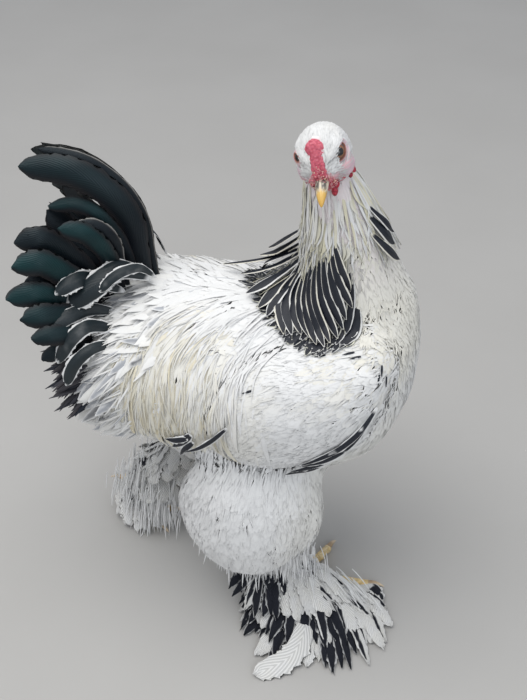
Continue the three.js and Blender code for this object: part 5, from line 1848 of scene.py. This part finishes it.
wingMarks = [
    # path, width and share of black on the right side
    ([(-66, -113, 286), (-78, -111, 272), (-88, -107, 261)], 11, 1.0),
    ([(-70, -113, 280), (-84, -111, 274), (-95, -107, 271)], 8, 1.0),
    ([(-64, -113, 276), (-74, -112, 264), (-80, -108, 252)], 8, 1.0),
    ([(-26, -125, 312), (-42, -124, 292), (-58, -120, 275), (-74, -114, 262)], 6, 1.0),
    ([(118, -107, 345), (104, -119, 322), (84, -122, 298), (60, -119, 276), (44, -114, 262)], 7, 0.25),
    ([(112, -108, 330), (96, -119, 306), (74, -120, 282), (48, -114, 262)], 9, 0.35),
    ([(96, -116, 306), (76, -119, 282), (54, -115, 262), (36, -109, 248)], 8, 0.5),
    ([(74, -117, 276), (58, -115, 262), (42, -110, 250), (30, -104, 238)], 7, 0.6),
]
flecks = [(87, -87, 393), (72, -79, 394), (120, -93, 381), (-23, -70, 381), (-1, -53, 390), (10, -83, 376),
          (82, -80, 396), (116, -96, 372), (123, -92, 368), (94, -88, 388), (60, -86, 384), (-26, -84, 216),
          (-40, -80, 372), (-52, -76, 366), (-8, -111, 350)]
quills = []
for side in (1, -1):
    for k, (path, width, share) in enumerate(wingMarks):
        quills.append({"path": onSide(path, side), "face": (0, side, 0.35), "width": width,
                       "shape": "point", "paint": inked(share), "cup": 0.1, "thick": 0.35,
                       "seat": (0.5 + 0.3 * side, 0.1 + 0.1 * k)})
    for k, spot in enumerate(flecks):
        # a small vane at the coat's surface, along the lie there
        spot = onSide(spot, side)
        lie = lieWing if spot[0] < 100 else lieBack
        d, n = slopeOf(trunkDistance, spot[None])
        start = spot - n[0] * (d[0] - 0.6)
        way = lie(start[None], n)[0]
        way = unit(way - n[0] * (way @ n[0]))
        path = [start - way * 5, start, start + way * 7]
        quills.append({"path": path, "face": n[0], "width": 3.6, "shape": "point", "paint": inked(0.8),
                       "cup": 0.1, "thick": 0.3, "seat": (0.5 + 0.3 * side, 0.05 + 0.06 * k)})
quillPiece("wing_marks", quills, 20, 9, "plumage_tail", capePlumage, fray=0.25, ragged=1.0)


# Feet: scaled toes and claws, then the long feathers of shank and foot in layers, and fluff between them

toeSets = {
    "right": {
        "middle": [(46, -38, 12), (74, -37, 7.4), (104, -36, 6.2), (124, -35, 5.2)],
        "inner": [(44, -32, 12), (56, -10, 7), (64, 6, 5.6), (68, 14, 4.6)],
        "outer": [(46, -44, 12), (62, -62, 7), (80, -80, 5.6)],
        "back": [(38, -38, 13), (22, -34, 7.5), (10, -31, 5)],
    },
    "left": {
        "middle": [(-176, 44, 56), (-170, 44, 28), (-160, 44, 9), (-140, 44, 5.4)],
        "inner": [(-178, 40, 56), (-172, 32, 28), (-162, 24, 9), (-148, 15, 5.2)],
        "outer": [(-176, 48, 56), (-170, 58, 28), (-162, 69, 9), (-150, 80, 5.2)],
        "back": [(-180, 44, 58), (-190, 46, 54), (-202, 48, 45)],
    },
}
toeSet = {"thick": 6.2, "tip": 4.2, "sides": 24, "scutes": 2.2, "plate": 0.45, "pads": 15, "pad": 0.8}


def aboveFloor(points, gap):
    # points kept a gap over the floor
    return np.stack([points[..., 0], points[..., 1], np.maximum(points[..., 2], gap)], -1)


def toeGrid(path):
    # tube along the toe that narrows, with plates across its top and pads under it
    length = np.sum(np.linalg.norm(np.diff(np.array(path, float), axis=0), axis=1))
    rings, sides = int(length * 1.2), toeSet["sides"]
    s = np.linspace(0, 1, rings)
    radius = lambda s: (mix(toeSet["thick"], toeSet["tip"], s),) * 2
    ring, line, ahead = tubeGrid(path, radius, rings, sides)
    saw = (s * length / toeSet["scutes"]) % 1
    upper = smooth(np.sin(circle(sides)), -0.1, 0.4)[None]
    plate = toeSet["plate"] * (1 - saw[:, None]) * smooth(saw, 0, 0.12)[:, None] * upper
    pad = toeSet["pad"] * np.sin(s * length / toeSet["pads"] * 2 * np.pi)[:, None] * (1 - upper)
    ring = ring + unit(ring - line[:, None]) * (plate + pad)[..., None]
    return closedGrid(aboveFloor(ring, 0.4), line[0] - ahead[0] * 2,
                      aboveFloor(line[-1] + ahead[-1] * 2, 0.6))


def paintToe(p):
    # yellow scales with darker seams
    grain = cloud(p, 3, 3)[:, None]
    scale = cells(p, 2.6, 4)[0][:, None]
    colour = mix((0.74, 0.52, 0.20), (0.80, 0.66, 0.40), grain)
    return colour * mix(1.0, 0.72, smooth(scale, 0.4, 0.8))


for sideName, toes in toeSets.items():
    gridPiece(f"toes_{sideName}", [toeGrid(path) for path in toes.values()], paintToe, toeSkin,
              "scaled_skin", f"foot_{sideName}")


clawSet = {"length": 17, "radius": 3.7, "along": [-0.15, 0.2, 0.5, 0.8, 1],
           "rise": [0.4, 2.0, 1.7, -0.2, -2.2], "sides": 24, "groove": 0.25}


def clawRadius(s):
    # half width and half depth, (1 - s) to the power 0.75
    return (clawSet["radius"] * np.maximum(1 - s, 0) ** 0.75 + 0.35,) * 2


def clawGrid(path):
    # curved horn past the toe's end that narrows to a blunt point, flatter and grooved below
    tip = np.array(path[-1], float)
    way = unit((tip - np.array(path[-2])) * (1, 1, 0))
    places = zip(clawSet["along"], clawSet["rise"])
    line = [tip + way * clawSet["length"] * s + (0, 0, z) for s, z in places]
    ring, line, ahead = tubeGrid(line, clawRadius, 34, clawSet["sides"])
    below = smooth(-np.sin(circle(clawSet["sides"])), 0.2, 1)[None, :, None]
    ring = mix(ring, line[:, None], below * clawSet["groove"])
    return closedGrid(aboveFloor(ring, 0.3), line[0] - ahead[0],
                      aboveFloor(line[-1] + ahead[-1] * 0.4, 0.5))


def paintClaw(paths):
    # dull horn, darker at the root and in soft patches
    tips = np.array([path[-1] for path in paths], float)

    def paint(p):
        off = np.min(np.linalg.norm(p[:, None] - tips[None], axis=-1), axis=1)
        grain = cloud(p, 2.2, 3)[:, None]
        horn = mix((0.36, 0.24, 0.13), (0.66, 0.54, 0.38), smooth(off, 2, 15)[:, None])
        return horn * mix(0.8, 1.1, grain)
    return paint


for sideName, toes in toeSets.items():
    paths = list(toes.values())
    gridPiece(f"claws_{sideName}", [clawGrid(path) for path in paths], paintClaw(paths), hornShell, "horn",
              *[f"claw_{toe}_{sideName}" for toe in toes])


def paintFoot(kind):
    # white with the share of black as alpha: the whole blade but its root, the outer half inside a white
    # rim, a broken streak beside the shaft, or none
    def paint(u, v, p):
        grain = cloud(p, 6, 12)
        if kind == "black":
            ragged = smooth(v, 0.04, 0.2) * smooth(np.abs(u) + 0.5 * cloud(p, 2.5, 4), 1.25, 1.0)
            dark = mix(white * 0.9, black * 0.9, ragged[..., None])
            return np.concatenate([dark, ragged[..., None]], -1)
        inside = {"laced": smooth(v, 0.25, 0.55) * smooth(grain, 0.1, 0.35),
                  "streak": smooth(v, 0.3, 0.6) * smooth(np.abs(u - 0.3) + grain * 0.5, 0.8, 0.45) * 0.8,
                  "white": 0 * u}[kind]
        return np.concatenate([mix(white * 0.95, cream, 0.3 * grain[..., None]), inside[..., None]], -1)
    return paint


footRows = {
    "right": [
        # root curve, tip curve, count, arch, width, kinds by share
        ([(26, -42, 13), (44, -48, 13), (64, -62, 8), (84, -42, 8), (112, -39, 6)],
         [(-30, -112, 4), (-4, -146, 3), (20, -178, 3), (60, -168, 3), (96, -170, 3), (136, -148, 3),
          (155, -98, 5), (148, -64, 7)], 30, 5, 18, "lbbwbbbwbbbswswl"),
        ([(20, -46, 30), (36, -48, 28), (52, -52, 20), (70, -44, 14)],
         [(-26, -96, 12), (-2, -128, 10), (30, -150, 9), (60, -138, 8), (92, -140, 8), (122, -118, 8),
          (140, -84, 10)], 27, 9, 17, "bbbwbbbwbbwbswws"),
        ([(8, -56, 72), (22, -54, 56), (36, -50, 40)],
         [(-40, -84, 30), (-24, -108, 26), (6, -124, 22), (40, -122, 20), (72, -112, 20), (100, -92, 22),
          (112, -64, 26)], 25, 11, 16, "bbsbbbwwwwsws"),
        ([(-4, -62, 96), (8, -60, 88), (18, -56, 72)],
         [(-34, -72, 56), (-20, -92, 44), (8, -104, 38), (36, -100, 34), (62, -84, 34), (72, -60, 38)],
         22, 9, 14, "sbbbbbbwwwws"),
    ],
    "left": [
        ([(-174, 36, 44), (-182, 42, 46), (-178, 54, 44), (-170, 58, 34)],
         [(-132, 6, 8), (-158, -2, 8), (-186, 4, 6), (-210, 26, 6), (-216, 60, 6), (-204, 96, 6),
          (-172, 116, 7), (-142, 110, 10), (-126, 88, 10)], 26, 6, 19, "wwwswlwwswwww"),
        ([(-150, 40, 92), (-162, 44, 80), (-172, 48, 60)],
         [(-120, 10, 40), (-146, 0, 56), (-180, 8, 44), (-208, 34, 36), (-212, 70, 36), (-186, 100, 44),
          (-150, 98, 56), (-122, 80, 40)], 26, 9, 18, "wwwlwswwlwww"),
        ([(-128, 44, 122), (-144, 46, 104), (-134, 54, 116)],
         [(-104, 20, 72), (-132, 6, 84), (-166, 12, 76), (-196, 40, 66), (-194, 76, 66), (-160, 96, 82),
          (-128, 94, 92), (-102, 76, 72)], 24, 9, 18, "wwwlwswwww"),
        ([(-112, 48, 146), (-124, 46, 130), (-118, 56, 138)],
         [(-92, 18, 104), (-122, 8, 108), (-156, 22, 100), (-172, 52, 96), (-150, 88, 104), (-116, 92, 110),
          (-90, 74, 104)], 20, 8, 18, "wwwwswwww"),
    ],
}
kinds = {"w": "white", "b": "black", "l": "laced", "s": "streak"}
footRings = {"right": 22, "left": 18}

for sideName, rows in footRows.items():
    quills = []
    for row, (roots, tips, count, arch, width, pattern) in enumerate(rows):
        for k in range(count):
            share = float(np.clip((k + rng.uniform(-0.25, 0.25)) / (count - 1), 0, 1))
            start = pathAt(roots, np.array([share]))[0]
            tip = mix(start, pathAt(tips, np.array([share]))[0], rng.uniform(0.78, 1.0))
            across = unit(np.cross(tip - start, [0, 0, 1.0])) * rng.normal(0, 4)
            middle = (start + tip) / 2 + across + (0, 0, arch * rng.uniform(0.7, 1.3))
            look = np.array([0, 0, 1.0]) + 0.35 * unit((tip - start) * (1, 1, 0))
            kind = kinds[pattern[int(share * (len(pattern) - 0.01))]]
            quills.append({"path": [start, middle, tip], "face": look,
                           "width": width * rng.uniform(0.7, 1.15),
                           "shape": "tongue" if kind == "white" else "blade", "paint": paintFoot(kind),
                           "seat": (0.1 + 0.8 * share, 0.2 + 0.2 * row), "roll": rng.normal(0, 0.22),
                           "thick": 0.35, "cup": 0.12})
    if sideName == "right":
        # the one big ribbed white feather in front
        quills.append({"path": [(44, -70, 12), (58, -120, 17), (48, -158, 12), (14, -184, 5)],
                       "face": (0.3, -0.2, 1), "width": 28, "shape": "tongue", "paint": paintFoot("white"),
                       "seat": (0.5, 0.1), "thick": 0.4, "cup": 0.15})
    quillPiece(f"foot_feathers_{sideName}", quills, footRings[sideName], 9, "plumage_white", footPlumage,
               fray=0.2, soft=0.35, ragged=2.2)


def paintFootFluff(u, v, p, root):
    # white strands, some of them smoky past the root
    dark = (rng.random((len(root), 1)) < 0.3) * smooth(v, 0.2, 0.6)
    return tinted(spread3(white, u), smoke * 0.6, dark)


def paintTuft(u, v, p, root):
    return spread3(white * 0.97, u) * mix(0.94, 1.0, v)[..., None]


tufts = [
    # name, middle, spread, way, length, count and the way it faces
    ("right_0", (2, -62, 92), (10, 8, 10), (-0.2, -0.6, -1), 26, 208, (0, -1, 0.8)),
    ("right_1", (24, -54, 54), (12, 7, 12), (0.1, -0.7, -0.8), 28, 208, (0, -1, 0.8)),
    ("left_2", (-124, 50, 128), (10, 10, 10), (-0.3, 0.1, -1), 26, 192, (-0.2, -0.7, 0.7)),
    ("left_3", (-156, 44, 84), (12, 10, 14), (-0.3, -0.15, -1), 26, 208, (-0.2, -0.7, 0.7)),
]
hanging = [
    # tufts of the thigh's own soft feathers that hang past its round lower edge
    ((-46, -86, 122), (9, 8, 13), (-0.2, -0.15, -1), 22, 240),
    ((-28, -90, 106), (11, 7, 11), (-0.1, -0.18, -1), 21, 304),
    ((-4, -90, 98), (11, 7, 9), (0.0, -0.18, -1), 18, 288),
    ((20, -87, 100), (11, 7, 9), (0.05, -0.15, -1), 18, 288),
    ((38, -80, 112), (9, 8, 11), (0.0, -0.1, -1), 18, 192),
]
over = [
    # soft white strands over the foot's feathers, seen from the side given last
    ("right_0", (40, -64, 54), (12, 7, 11), (0.25, -0.45, -0.8), 26, 336, (0, -1, 0.8)),
    ("right_1", (66, -60, 28), (18, 8, 6), (0.75, -0.5, -0.2), 34, 304, (0, -0.4, 1)),
    ("left_2", (-166, 24, 74), (16, 9, 18), (-0.15, -0.25, -1), 26, 368, (-0.1, -1, 0.6)),
    ("left_3", (-150, 16, 46), (15, 8, 14), (0.0, -0.4, -0.8), 24, 256, (0, -1, 0.6)),
]
for name, middle, spread, way, length, count, face in tufts:
    looseTuft(f"foot_fluff_{name}", middle, spread, way, length, 1.4, count, paintFootFluff, whitePlumage,
              "plumage_white", droop=4, face=face)
for k, (middle, spread, way, length, count) in enumerate(hanging):
    looseTuft(f"thigh_tuft_{k}", middle, spread, way, length, 1.5, count, paintTuft, whitePlumage,
              "plumage_white", droop=4, rings=4, stray=0.09)
for name, middle, spread, way, length, count, face in over:
    looseTuft(f"foot_strands_{name}", middle, spread, way, length, 1.4, count, paintTuft, whitePlumage,
              "plumage_white", droop=8, stray=0.12, face=face)
print("feet made", sum(grown))


# Camera, light and floor

# focus and height of the picture in pixels
camera = {"azimuth": 10, "elevation": 38, "distance": 1200, "target": (-15, 20, 300), "focus": 1100,
          "sensor": 36, "height": 700}
lights = {
    "overcast": {"place": (-0.5, -0.3, 2.6), "size": 2.6, "watts": 50, "colour": (1, 0.985, 0.96)},
    "openSide": {"place": (1.4, -2.2, 1.5), "size": 1.8, "watts": 16, "colour": (0.9, 0.95, 1)},
}


def stood(obj, right, up, back, place):
    # puts a camera or lamp with its axes in place
    basis = np.eye(4)
    basis[:3, 0], basis[:3, 1], basis[:3, 2], basis[:3, 3] = right, up, back, place
    obj.matrix_world = Matrix(basis.tolist())
    bpy.context.scene.collection.objects.link(obj)
    return obj


def aimCamera(c):
    # right across the picture, back from the target to the camera
    a, e = math.radians(c["azimuth"]), math.radians(c["elevation"])
    right = np.array([math.cos(a), math.sin(a), 0])
    back = np.array([math.sin(a) * math.cos(e), -math.cos(a) * math.cos(e), math.sin(e)])
    data = bpy.data.cameras.new("camera")
    data.sensor_width = c["sensor"]
    data.lens = c["focus"] * c["sensor"] / c["height"]
    place = (np.array(c["target"]) + back * c["distance"] + shift) / 1000
    made = stood(bpy.data.objects.new("camera", data), right, np.cross(back, right), back, place)
    bpy.context.scene.camera = made


def softLight(name, light):
    # a round lamp that looks at the bird's middle
    data = bpy.data.lights.new(name, "AREA")
    data.shape, data.size, data.energy, data.color = "DISK", light["size"], light["watts"], light["colour"]
    back = unit(np.array(light["place"]) - np.array([0, 0, 0.3]))
    right = unit(np.cross([0, 1, 0.01], back))
    stood(bpy.data.objects.new(name, data), right, np.cross(back, right), back, light["place"])


aimCamera(camera)
for name, light in lights.items():
    softLight(name, light)
sky = bpy.data.worlds.new("sky")
sky.use_nodes = True
sky.node_tree.nodes["Background"].inputs["Color"].default_value = (0.88, 0.92, 1, 1)
sky.node_tree.nodes["Background"].inputs["Strength"].default_value = 0.53
bpy.context.scene.world = sky
bpy.context.scene.view_settings.view_transform = "Standard"


def floorPaint(tree, shader, dark, pale):
    # plaster in two soft tones
    where = addNode(tree, "TexCoord", {})
    cloudy = addNode(tree, "TexNoise", {"Vector": where.outputs["Object"]}, Scale=3.0, Detail=6.0)
    ramp = addNode(tree, "Mix", {}, data_type="RGBA")
    tree.links.new(cloudy.outputs["Fac"], ramp.inputs[0])
    ramp.inputs[6].default_value, ramp.inputs[7].default_value = dark, pale
    tree.links.new(ramp.outputs[2], shader.inputs["Base Color"])


plaster = {"dark": (0.43, 0.42, 0.40, 1), "pale": (0.50, 0.49, 0.47, 1)}
reach = 6.0
floorMesh = bpy.data.meshes.new("floor")
corners = [(-reach, -reach, 0), (reach, -reach, 0), (reach, reach, 0), (-reach, reach, 0)]
floorMesh.from_pydata(corners, [], [(0, 1, 2, 3)])
floor = bpy.data.objects.new("floor", floorMesh)
bpy.context.scene.collection.objects.link(floor)
floorMesh.materials.append(nodeMaterial("paleFloor", floorPaint, plaster, Roughness=0.95))
print("stage set")
